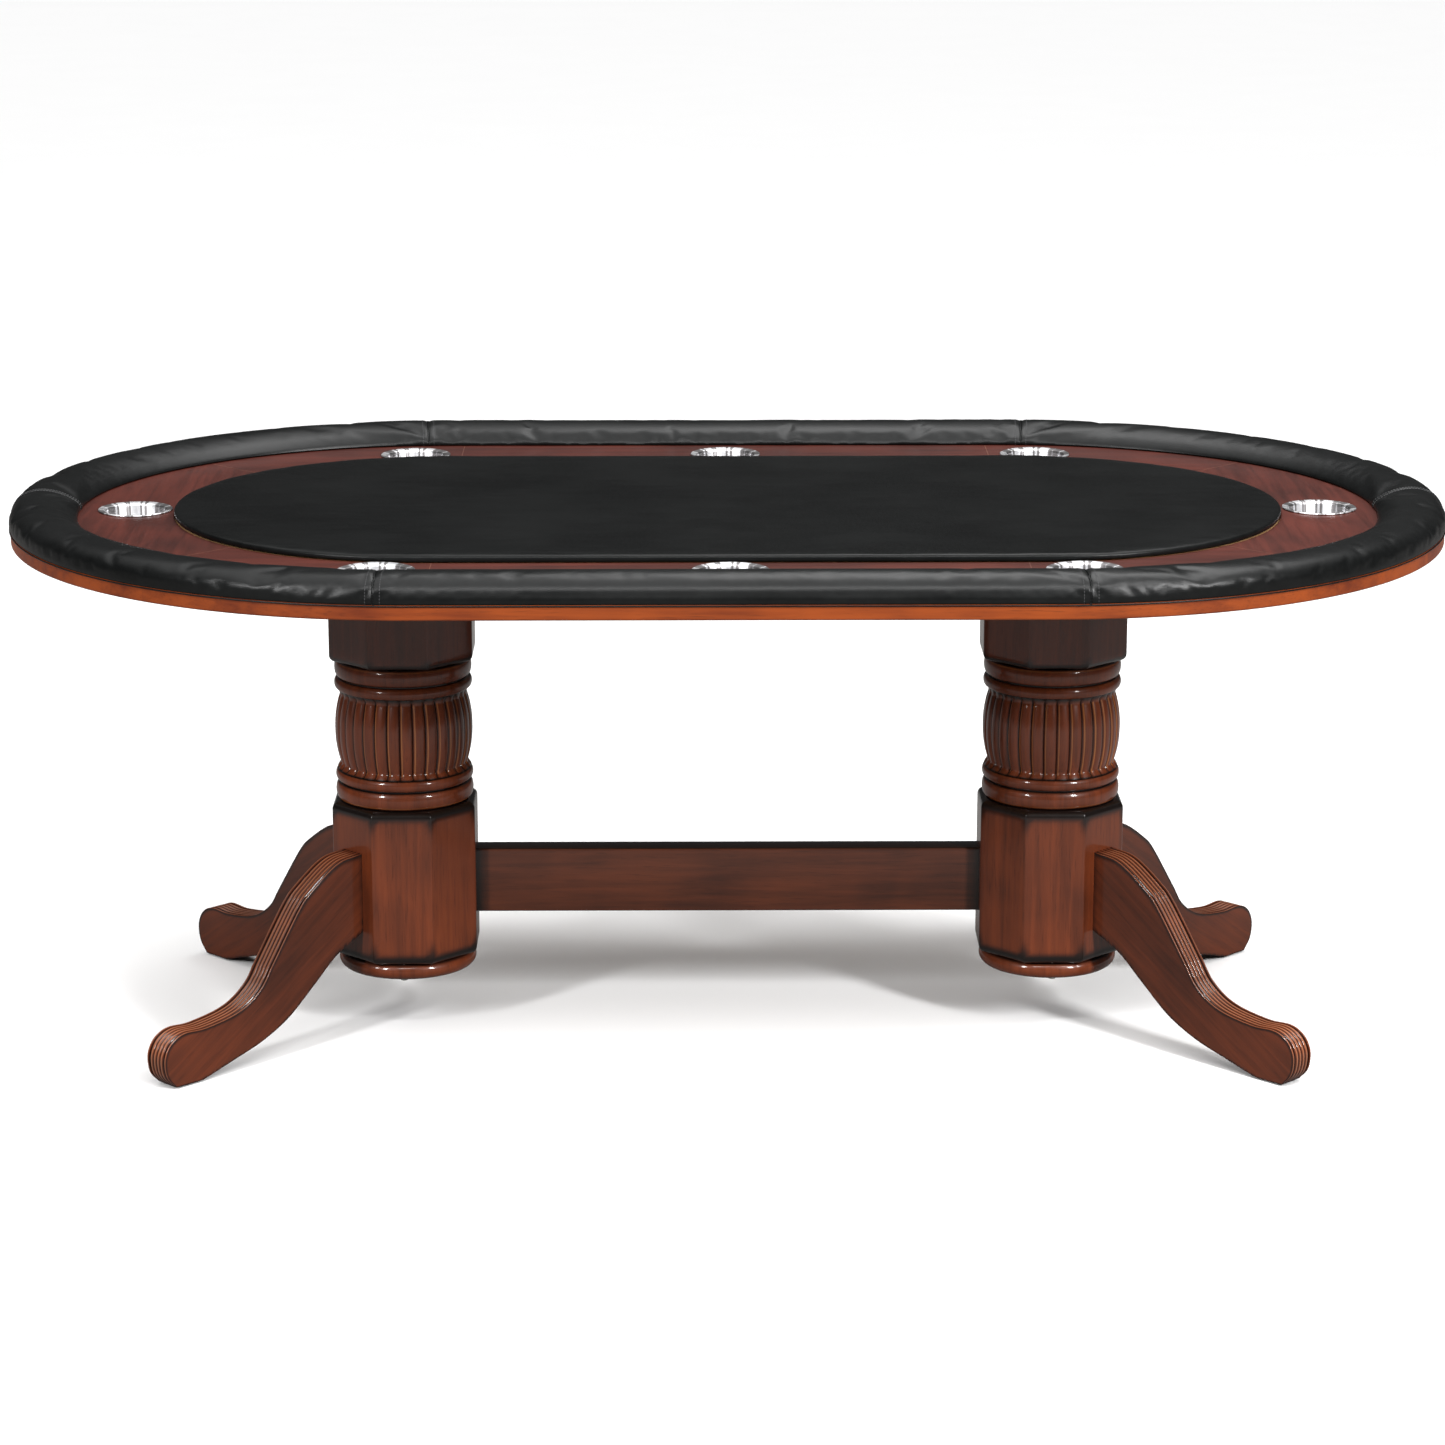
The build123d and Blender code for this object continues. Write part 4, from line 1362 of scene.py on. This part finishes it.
# ------------------------------------------------------------------ the pedestals
@dataclass
class Pedestal:
    """A column of turned and octagonal lengths on two scrolled legs.

    Attributes:
        side: Either left or right.
        finishes: The finishes.
        reeds: Number of reeds round the barrel.
        reed_depth: How deep the grooves between the reeds are.
        reed_sides: Facets across one reed.
        ring: Radius of the rings.
        ring_cut: How deep the grooves between the rings are.
        core: Radius of the turned length's ends.
        neck: Radius of the barrel at its ends.
        belly: Its radius in the middle.
        bulge: Share of the barrel's half height over which it swells.
        corner_round: Radius of the octagon's corners.
        end_round: Radius of the blocks' ends.
        courses: Rows of faces up a block.
    """

    side: str
    finishes: Finishes
    reeds: int = 32
    reed_depth: float = 3.8 * MM
    reed_sides: int = 12
    ring: float = 101.4 * MM
    ring_cut: float = 7.0 * MM
    core: float = 90 * MM
    neck: float = 93.5 * MM
    belly: float = 101.2 * MM
    bulge: float = 0.86
    corner_round: float = 5 * MM
    end_round: float = 10 * MM
    courses: int = 26

    def centre(self) -> Point2:
        """Plan place of the column's axis."""
        low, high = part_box(f"column_base_{self.side}")
        return ((low[0] + high[0]) / 2, (low[1] + high[1]) / 2)

    def octagon_section(self, flat: float) -> list[Point2]:
        """An octagon with rounded corners, with a few points along each flat.

        Args:
            flat: Distance from its centre to a flat.

        Returns:
            The closed section, about its centre.
        """
        section = []
        turn = pi / 4
        radius = self.corner_round
        reach = (flat - radius) / cos(turn / 2)
        for corner in range(8):
            middle = turn * corner + turn / 2
            hub = Vector((reach * cos(middle), reach * sin(middle)))
            arc = []
            for step in range(7):
                angle = middle - turn / 2 + turn * step / 6
                arc.append(hub + Vector((cos(angle), sin(angle))) * radius)
            section += arc
            following = middle + turn
            next_hub = Vector((reach * cos(following), reach * sin(following)))
            start = arc[-1]
            end = next_hub + Vector((cos(middle + turn / 2), sin(middle + turn / 2))) * radius
            section += [start.lerp(end, step / 8) for step in range(1, 8)]
        return [tuple(point) for point in section]

    def block(self, name: str, node: str, finish: bpy.types.Material, dark_reach: float,
              round_top: bool) -> bpy.types.Object:
        """An octagonal block with rounded ends, darkened at its corners and ends by glaze and painted shade.

        Args:
            name: The piece's name.
            node: The node that it stands for.
            finish: Its finish.
            dark_reach: How far the dark glaze and painted shade reach from its rounded ends.
            round_top: Whether its upper end is rounded over as well as its lower end.

        Returns:
            The piece.
        """
        low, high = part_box(f"column_base_{self.side}")
        flat = (high[0] - low[0]) / 2
        node_low, node_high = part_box(node)
        bottom, top = node_low[2], node_high[2]
        turns = [pi / 2 * step / 6 for step in range(7)]
        rounding = [(self.end_round * (1 - sin(turn)), self.end_round * (1 - cos(turn))) for turn in turns]
        levels = [(bottom + rise, drawn_in) for rise, drawn_in in reversed(rounding)]
        body_low = bottom + self.end_round
        body_high = top - (self.end_round if round_top else 0.0)
        levels += [(body_low + (body_high - body_low) * step / self.courses, 0.0)
                   for step in range(1, self.courses)]
        if round_top:
            levels += [(top - drop, drawn_in) for drop, drawn_in in rounding]
        else:
            levels += [(top, 0.0)]
        centre = self.centre()
        section = self.octagon_section(flat)
        points = []
        for level, drawn_in in levels:
            scale = (flat - drawn_in) / flat
            points += [(centre[0] + x * scale, centre[1] + y * scale, level) for x, y in section]
        faces = grid_faces(len(levels), len(section), closed_columns=True)
        faces += end_caps(len(levels), len(section))
        piece = build_mesh(name, points, faces, finish, crease=40, weld=1e-7)
        corner_reach = (flat - self.corner_round) / cos(pi / 8) + self.corner_round

        def glaze_and_shade(place: Vector) -> float:
            """Glaze and painted shade: dark at the rounded ends and along the corners."""
            out = hypot(place.x - centre[0], place.y - centre[1])
            corner = smooth_step(out, flat + 0.55 * (corner_reach - flat), corner_reach)
            from_end = min(place.z - bottom, top - place.z) if round_top else place.z - bottom
            ends = 1 - smooth_step(from_end, 0.25 * dark_reach, dark_reach)
            near_end = 1 - smooth_step(from_end, 0.0, 2 * dark_reach)
            return min(1.0, max(corner * (0.14 + 0.9 * near_end), ends))

        paint(piece, "glaze_and_shade", glaze_and_shade)
        return piece

    def across_reed(self, angle: float) -> float:
        """Place across a reed at an angle, from 0 to 1."""
        return (angle * self.reeds / (2 * pi)) % 1.0

    def from_crest(self, angle: float) -> float:
        """Distance from a reed's crest at an angle, from 0 to 1 in the groove."""
        return abs(self.across_reed(angle) - 0.5) * 2

    def vase(self) -> bpy.types.Object:
        """The turned length: two rings, a reeded barrel, and two rings again."""
        node = f"column_vase_{self.side}"
        low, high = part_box(node)
        bottom, top = low[2], high[2]
        ring, neck, bulge = self.ring, self.neck, self.bulge
        cut = ring - self.ring_cut
        wide, narrow, step_in = 27 * MM, 19 * MM, 1.2 * MM
        shoulder = 4.5 * MM
        reed_low = bottom + wide + narrow
        reed_high = top - wide - narrow
        half = (reed_high - reed_low) / 2
        middle = (reed_high + reed_low) / 2

        def bead(start: float, end: float, height: float, steps: int = 12) -> list[Point2]:
            """A half-round moulding between two levels."""
            line = []
            for step in range(steps + 1):
                angle = pi * step / steps
                level = (start + end) / 2 - (end - start) / 2 * cos(angle)
                line.append((cut + (height - cut) * sin(angle) ** 0.85, level))
            return line

        lower = [(self.core, bottom)] + bead(bottom, bottom + wide, ring)
        lower += bead(bottom + wide + step_in, reed_low, ring)
        upper = bead(reed_high, reed_high + narrow - step_in, ring)
        upper += bead(reed_high + narrow, top, ring - 0.5 * MM) + [(self.core, top)]
        barrel = []
        steps = 56
        for step in range(steps + 1):
            share = -1 + 2 * step / steps
            level = middle + half * share
            swell = 1 - abs(share / bulge) ** 2.2 if abs(share) < bulge else 0.0
            radius = neck + (self.belly - neck) * swell
            if share < -bulge:
                radius = neck + (cut + shoulder - neck) * ((-share - bulge) / 0.14) ** 0.8
            elif share > bulge:
                radius = neck + (cut - neck) * ((share - bulge) / 0.14) ** 0.8
            barrel.append((radius, level, share))
        profile = [(radius, level, None) for radius, level in lower]
        profile += barrel + [(radius, level, None) for radius, level in upper]
        sides = self.reeds * self.reed_sides
        centre = self.centre()
        points = []
        for radius, level, share in profile:
            for step in range(sides):
                angle = 2 * pi * step / sides
                inward = 0.0
                if share is not None:
                    fade = 1 - smooth_step(abs(share), 0.90 if share > 0 else 0.93, 1.0)
                    inward = self.reed_depth * self.from_crest(angle) ** 3 * fade
                out = radius - inward
                points.append((centre[0] + out * cos(angle), centre[1] + out * sin(angle), level))
        faces = grid_faces(len(profile), sides, closed_columns=True) + end_caps(len(profile), sides)
        name = f"turned_vase_{self.side}"
        piece = build_mesh(name, points, faces, self.finishes.column, crease=60, weld=1e-7)
        seams = [bottom + 0.5 * MM, bottom + wide, reed_low, reed_high, reed_high + narrow, top - 0.5 * MM]

        def glaze_and_shade(place: Vector) -> float:
            """Glaze and painted shade: dark in the turned grooves, between the reeds and on the barrel just
            under the upper rings.
            """
            near = min(abs(place.z - seam) for seam in seams)
            dark = 1 - smooth_step(near, 0.5 * MM, 3.0 * MM)
            if reed_low < place.z < reed_high:
                groove = smooth_step(self.from_crest(bearing(centre, place)), 0.72, 0.98)
                dark = max(dark, 0.85 * groove)
                # Painted shade on the barrel just under the upper rings.
                dark = max(dark, 0.8 * smooth_step(place.z, reed_high - 9 * MM, reed_high - 1 * MM))
            return dark

        def wear_and_highlight(place: Vector) -> float:
            """Lighter near the edges of the mouldings and down one side of each reed: rubbed-through wear and
            painted highlights.
            """
            gaps = [abs(abs(place.z - seam) - 3.2 * MM) for seam in seams]
            lighter_share = max(1 - smooth_step(gap, 0.0, 1.0 * MM) for gap in gaps) * 0.55
            if reed_low + 6 * MM < place.z < reed_high - 8 * MM:
                # Painted highlight and wear down one side of each reed.
                phase = self.across_reed(bearing(centre, place))
                lighter_share = max(lighter_share, 1 - smooth_step(abs(phase - 0.14), 0.0, 0.08))
            return lighter_share

        paint(piece, "glaze_and_shade", glaze_and_shade)
        paint(piece, "wear_and_highlight", wear_and_highlight)
        return piece

    def moulding(self) -> bpy.types.Object:
        """The bullnose disc under the column."""
        low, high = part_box(f"base_moulding_{self.side}")
        radius = (high[0] - low[0]) / 2
        nose = (high[2] - low[2]) / 2
        arc = [(radius - nose + nose * cos(angle), low[2] + nose + nose * sin(angle))
               for angle in [pi * step / 14 - pi / 2 for step in range(15)]]
        outline = [(0, low[2])] + [(radius * 0.5, low[2])] + arc + [(radius * 0.5, high[2]), (0, high[2])]
        piece = lathe(f"moulding_{self.side}", self.centre(), outline, 128, self.finishes.column, crease=50)
        # Glaze and painted shade: darker along the top, under the base block.
        paint(piece, "glaze_and_shade", lambda place: smooth_step(place.z, high[2] - 7 * MM, high[2]))
        return piece

    def build(self) -> None:
        """Make the column."""
        side, finishes = self.side, self.finishes
        head, base = f"column_head_{side}", f"column_base_{side}"
        pieces = {
            "column_head": self.block(f"head_block_{side}", head, finishes.head, 13 * MM, round_top=False),
            "column_base": self.block(f"base_block_{side}", base, finishes.column, 24 * MM, round_top=True),
            "column_vase": self.vase(),
            "base_moulding": self.moulding(),
        }
        for node, piece in pieces.items():
            hand_over(piece, [f"{node}_{self.side}"])


@dataclass
class Leg:
    """Scrolled leg with a reeded top that runs over the toe.

    Attributes:
        row: Either front or back.
        side: Either left or right.
        finishes: The finishes.
        beads: Number of reeds across the top.
        flat: Distance from the column's axis to the leg's fixed end.
        half: Half the leg's thickness.
        sole: Level of the foot's underside.
        top: Level of the top of the fixed end.
        low: Level of its lower edge.
        heel: Reach at which the foot's flat underside starts.
        tread: Length of that flat underside.
        depth: How deep the grooves between the reeds are.
    """

    row: str
    side: str
    finishes: Finishes
    beads: int = 4
    flat: float = 104.8 * MM
    half: float = 21 * MM
    sole: float = 3 * MM
    top: float = 277 * MM
    low: float = 158 * MM
    heel: float = 410 * MM
    tread: float = 48 * MM
    depth: float = 3.2 * MM

    def top_line(self) -> list[Point2]:
        """Reach and level along the top, over the toe, to the front of the sole."""
        shape = [
            (self.flat, self.top), (0.150, 0.271), (0.200, 0.240), (0.225, 0.216), (0.275, 0.147),
            (0.300, 0.113), (0.340, 0.089), (0.400, 0.079), (0.440, 0.080), (0.463, 0.071),
            (0.475, 0.054), (0.477, 0.036), (0.472, 0.018), (self.heel + self.tread, self.sole),
        ]
        return even_line(curve_through(shape, 10), 120)

    def bottom_line(self) -> list[Point2]:
        """Reach and level along the underside to the front of the sole."""
        shape = [
            (self.flat, self.low), (0.155, 0.134), (0.200, 0.098), (0.250, 0.059), (0.300, 0.035),
            (0.350, 0.020), (0.385, 0.010), (self.heel, self.sole),
        ]
        curved = even_line(curve_through(shape, 10), 104)
        return curved + [(self.heel + self.tread * step / 16, self.sole) for step in range(1, 17)]

    def across(self) -> list[tuple[float, float]]:
        """Sideways place and cut depth over the reeded top, from one side to the other."""
        soft, line, groove, per = 1.4 * MM, 3.0 * MM, 3.2 * MM, 8
        inner = self.half - line - groove
        turns = [pi / 2 * step / 4 for step in range(5)]
        edge = [(-self.half + soft * (1 - cos(turn)), soft * (1 - sin(turn))) for turn in turns]
        edge += [(-self.half + line, 0.5 * MM), (-self.half + line + 0.6 * MM, self.depth)]
        width = 2 * inner / self.beads
        reeds = []
        for bead in range(self.beads):
            for step in range(per + 1 if bead == self.beads - 1 else per):
                share = step / per
                crest = sqrt(max(0.0, 1 - (2 * share - 1) ** 2)) ** 0.8
                reeds.append((-inner + width * (bead + share), self.depth * (1 - crest)))
        return edge + reeds + [(-sideways, cut) for sideways, cut in reversed(edge)]

    def build(self) -> None:
        """Make the leg."""
        low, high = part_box(f"column_base_{self.side}")
        centre = Vector(((low[0] + high[0]) / 2, (low[1] + high[1]) / 2))
        way = Vector((1 if self.side == "right" else -1, 1 if self.row == "back" else -1)).normalized()
        aside = Vector((-way.y, way.x))
        top, bottom, across = self.top_line(), self.bottom_line(), self.across()
        count = len(top)

        def place(reach: float, level: float, sideways: float) -> Point3:
            """A place in the leg's own terms, in the table's."""
            spot = centre + way * reach + aside * sideways
            return (spot.x, spot.y, level)

        points, maps, marks = [], [], []
        faces: Faces = []

        def add_grid(rows: Sequence[Sequence[Sequence[float]]]) -> None:
            """Add rows of reach, level, sideways, glaze and painted shade, and wear and painted highlight."""
            start = len(points)
            for row in rows:
                for reach, level, sideways, glaze_and_shade, wear_and_highlight in row:
                    points.append(place(reach, level, sideways))
                    maps.append((reach, level))
                    marks.append((glaze_and_shade, wear_and_highlight))
            for face in grid_faces(len(rows), len(rows[0])):
                faces.append(tuple(start + number for number in face))

        rows = []
        for number, (reach, level) in enumerate(top):
            before, after = top[max(number - 1, 0)], top[min(number + 1, count - 1)]
            slope = Vector((after[0] - before[0], after[1] - before[1])).normalized()
            outward = Vector((-slope.y, slope.x))
            fade = 1 - smooth_step(number / count, 0.955, 1.0)
            fade *= smooth_step(number / count, 0.0, 0.03) * 0.8 + 0.2
            row = []
            for sideways, cut in across:
                sunk = cut * fade
                # Painted highlight and wear on the reeds' crests; glaze and painted shade down in the
                # grooves.
                crest = 0.6 * (1 - smooth_step(cut, 0.0, 0.18 * self.depth)) * fade
                row.append((reach - outward.x * sunk, level - outward.y * sunk, sideways,
                            smooth_step(cut, 0.15 * self.depth, 0.45 * self.depth), crest))
            rows.append(row)
        add_grid(rows)
        edge_rows = {side: [(row[0] if side < 0 else row[-1]) for row in rows] for side in (-1, 1)}
        for side in (-1, 1):
            sheet = []
            for number in range(count):
                upper = edge_rows[side][number]
                lower = bottom[number]
                column = []
                for step in range(15):
                    share = step / 14
                    reach = upper[0] + (lower[0] - upper[0]) * share
                    level = upper[1] + (lower[1] - upper[1]) * share
                    depth = hypot(lower[0] - upper[0], lower[1] - upper[1])
                    rim = min(share, 1 - share) * depth
                    end = smooth_step(-reach, -self.flat - 12 * MM, -self.flat)
                    # Glaze and painted shade along the edges of the sides and towards the column.
                    glaze_and_shade = max(0.9 * (1 - smooth_step(rim, 0.5 * MM, 5 * MM)), 0.5 * end)
                    column.append((reach, level, side * self.half, glaze_and_shade, 0.0))
                sheet.append(column)
            add_grid(sheet)
        # Painted shade and glaze: the underside darker all over.
        add_grid([[(reach, level, -self.half + 2 * self.half * step / 6, 0.6, 0.0) for step in range(7)]
                  for reach, level in bottom])
        # Painted shade: the end against the column dark all over.
        add_grid([[(self.flat, self.top + (self.low - self.top) * step / 14, side * self.half, 1.0, 0.0)
                   for side in (-1, 1)] for step in range(15)])
        name = f"scroll_leg_{self.row}_{self.side}"
        mesh = bpy.data.meshes.new(name)
        mesh.from_pydata(points, [], faces)
        mesh.materials.append(self.finishes.leg)
        # Glaze and painted shade, then wear and painted highlight.
        for number, label in enumerate(("glaze_and_shade", "wear_and_highlight")):
            layer = mesh.attributes.new(label, "FLOAT", "POINT")
            layer.data.foreach_set("value", [mark[number] for mark in marks])
        uv = mesh.uv_layers.new(name="UVMap")
        for loop in mesh.loops:
            uv.data[loop.index].uv = maps[loop.vertex_index]
        merge_doubles(mesh, 0.05 * MM)
        finish_shading(mesh, 38)
        hand_over(put_down(name, mesh), [f"leg_{self.row}_{self.side}"])


@dataclass
class Stretcher:
    """Flat beam between the columns, with eased edges."""

    finishes: Finishes
    ease: float = 3 * MM

    def build(self) -> None:
        """Make the beam."""
        low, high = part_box("stretcher")
        back, front = high[1] - self.ease, low[1] + self.ease
        upper, lower = high[2] - self.ease, low[2] + self.ease
        section = []
        for turn, hub in enumerate(((back, upper), (front, upper), (front, lower), (back, lower))):
            section += quarter_round(hub, self.ease, 90 * turn, 4)
        xs = [low[0] + (high[0] - low[0]) * step / 60 for step in range(61)]
        points = [(x, y, z) for x in xs for y, z in section]
        faces = grid_faces(len(xs), len(section), closed_columns=True) + end_caps(len(xs), len(section))
        beam = build_mesh("stretcher_beam", points, faces, self.finishes.stretcher, crease=40)

        def glaze_and_shade(place: Vector) -> float:
            """Glaze and painted shade: dark at the ends, against the columns, and on the top edge."""
            end = smooth_step(abs(place.x), high[0] - 22 * MM, high[0])
            edge = smooth_step(place.z, high[2] - 2.5 * MM, high[2]) * 0.8
            return max(end, edge)

        paint(beam, "glaze_and_shade", glaze_and_shade)
        hand_over(beam, ["stretcher"])


@dataclass
class Underside:
    """The bed, battens, plates and fasteners, which keep their own shapes."""

    finishes: Finishes

    def build(self) -> None:
        """Dress the carried-over nodes."""
        slots = {entry["node"]: entry["material_slot"] for entry in frame["record"]["subparts"]}
        finish = {
            "plywood": self.finishes.plywood,
            "pedestal_wood": self.finishes.stretcher,
            "zinc_steel": self.finishes.zinc,
            "nylon": self.finishes.nylon,
        }
        for name, node in frame["nodes"].items():
            if slots[name] in finish:
                dress(node, finish[slots[name]])


# ------------------------------------------------------------------ the studio
@dataclass
class Studio:
    """Pale floor, soft lights and the camera.

    Attributes:
        eye: Where the camera stands.
        pan: Turn of the camera to the right, in degrees.
        tilt: How far it looks down, in degrees.
        lens: Focal length in millimetres.
        low_glow: Brightness of the room at eye level.
        high_glow: Brightness of the room overhead.
        reach: Half the width of the floor.
        sensor: Width of the camera's sensor in millimetres.
    """

    eye: Point3 = (-0.0549, -5.9974, 1.9609)
    pan: float = 0.45
    tilt: float = 14.12
    lens: float = 104.32
    low_glow: float = 0.04
    high_glow: float = 2.3
    reach: float = 30.0
    sensor: float = 36.0

    def sky(self) -> None:
        """Light the room softly from overhead, and leave it white behind the table."""
        world = bpy.data.worlds.new("studio")
        world.use_nodes = True
        graph = Graph(world.node_tree)
        seen = graph.add("ShaderNodeLightPath", {}, {}, "Is Camera Ray")
        _, _, height = graph.axes(graph.add("ShaderNodeTexCoord", {}, {}, "Generated"))
        glow = self.low_glow + (self.high_glow - self.low_glow) * height.ramp(0.5, 1.0)
        strength = seen + (1 - seen) * glow
        sky = graph.node("ShaderNodeBackground", {}, {"Color": (1.0, 1.0, 1.0, 1.0), "Strength": strength})
        graph.node("ShaderNodeOutputWorld", {}, {"Surface": Value(graph, sky.outputs[0])})
        bpy.context.scene.world = world

    def floor(self) -> None:
        """Lay a wide pale floor, which throws only a little light back up."""
        graph = Surface("studio_floor")
        cloud = graph.noise(graph.place(), 3.0, 2.0)
        pale = graph.blend(cloud, (0.97, 0.97, 0.97, 1), (0.99, 0.99, 0.99, 1))
        seen = graph.add("ShaderNodeLightPath", {}, {}, "Is Camera Ray")
        colour = graph.blend(seen, (0.19, 0.185, 0.18, 1), pale)
        graph.set(Base_Color=colour, Roughness=0.9, Specular_IOR_Level=0.1)
        reach = self.reach
        points = [(-reach, -reach, 0), (reach, -reach, 0), (reach, reach, 0), (-reach, reach, 0)]
        mesh = bpy.data.meshes.new("floor")
        mesh.from_pydata(points, [], [(0, 1, 2, 3)])
        mesh.materials.append(graph.material)
        floor = put_down("floor", mesh)

    def lamp(self, name: str, place: Point3, aim: Point3, size: Point2, power: float) -> None:
        """Hang a soft box.

        Args:
            name: The lamp's name.
            place: Where it hangs.
            aim: What it points at.
            size: Its width and height.
            power: Its power in watts.
        """
        data = bpy.data.lights.new(name, "AREA")
        data.shape = "RECTANGLE"
        data.size, data.size_y = size
        data.energy = power
        lamp = put_down(name, data)
        lamp.location = place
        lamp.rotation_euler = (Vector(aim) - Vector(place)).to_track_quat("-Z", "Y").to_euler()

    def build(self) -> None:
        """Set up the world, the lights, the floor and the camera."""
        self.sky()
        self.floor()
        self.lamp("key_right", (3.6, -4.0, 3.2), (0, 0, 0.5), (0.7, 1.5), 330)
        self.lamp("key_left", (-3.5, -4.0, 3.0), (0, 0, 0.5), (0.6, 1.4), 190)
        self.lamp("strip", (0.6, -2.7, 3.6), (0, -0.6, 0.78), (4.2, 0.4), 110)
        self.lamp("top", (0.9, 1.0, 3.4), (0, 0, 0.78), (3.0, 1.4), 50)
        data = bpy.data.cameras.new("camera")
        data.lens = self.lens
        data.sensor_width = self.sensor
        camera = put_down("camera", data)
        camera.location = self.eye
        camera.rotation_euler = (radians(90 - self.tilt), 0.0, -radians(self.pan))
        bpy.context.scene.camera = camera
        bpy.context.scene.view_settings.view_transform = "Standard"


# ------------------------------------------------------------------ the whole table
def main() -> None:
    """Build the table's visible pieces and its studio."""
    logging.basicConfig(level=logging.INFO, format="%(name)s: %(message)s")
    finishes = Finishes()
    band_low, band_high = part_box("edge_band_front")
    core_low, core_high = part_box("rail_core_front")
    pad_low, pad_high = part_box("playfield_pad")
    panel_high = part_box("racetrack_panel_front_middle")[1]
    cushion_low, cushion_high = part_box("rail_cushion_front_middle")
    half_width = -cushion_low[1]
    path = RimPath(CAD_BOX[1][0], half_width)
    seam_turn = asin((cushion_high[0] - path.end_centre) / half_width)
    rail = Rail(
        path, finishes, foot=band_high[2], inner_foot=panel_high[2], crest=cushion_high[2],
        width=half_width + cushion_high[1] / cos(seam_turn),
        core=(half_width + core_low[1], half_width + core_high[1], core_high[2]),
        seam_turn=degrees(seam_turn),
    )
    Studio().build()
    rail.build()
    EdgeBand(
        path, finishes, bottom=band_low[2], top=band_high[2], setback=half_width + band_low[1],
        thickness=band_high[1] - band_low[1],
    ).build()
    Racetrack(path, finishes, panel_high[2], half_width + panel_high[1], rail.width).build()
    Playfield(path, finishes, pad_low[2], pad_high[2], half_width + pad_low[1]).build()
    for name in frame["nodes"]:
        if name.startswith("cup_holder_"):
            CupHolder(name.removeprefix("cup_holder_"), finishes).build()
    for side in ("left", "right"):
        Pedestal(side, finishes).build()
        for row in ("front", "back"):
            Leg(row, side, finishes).build()
    Stretcher(finishes).build()
    Underside(finishes).build()


if __name__ == "__main__":
    main()
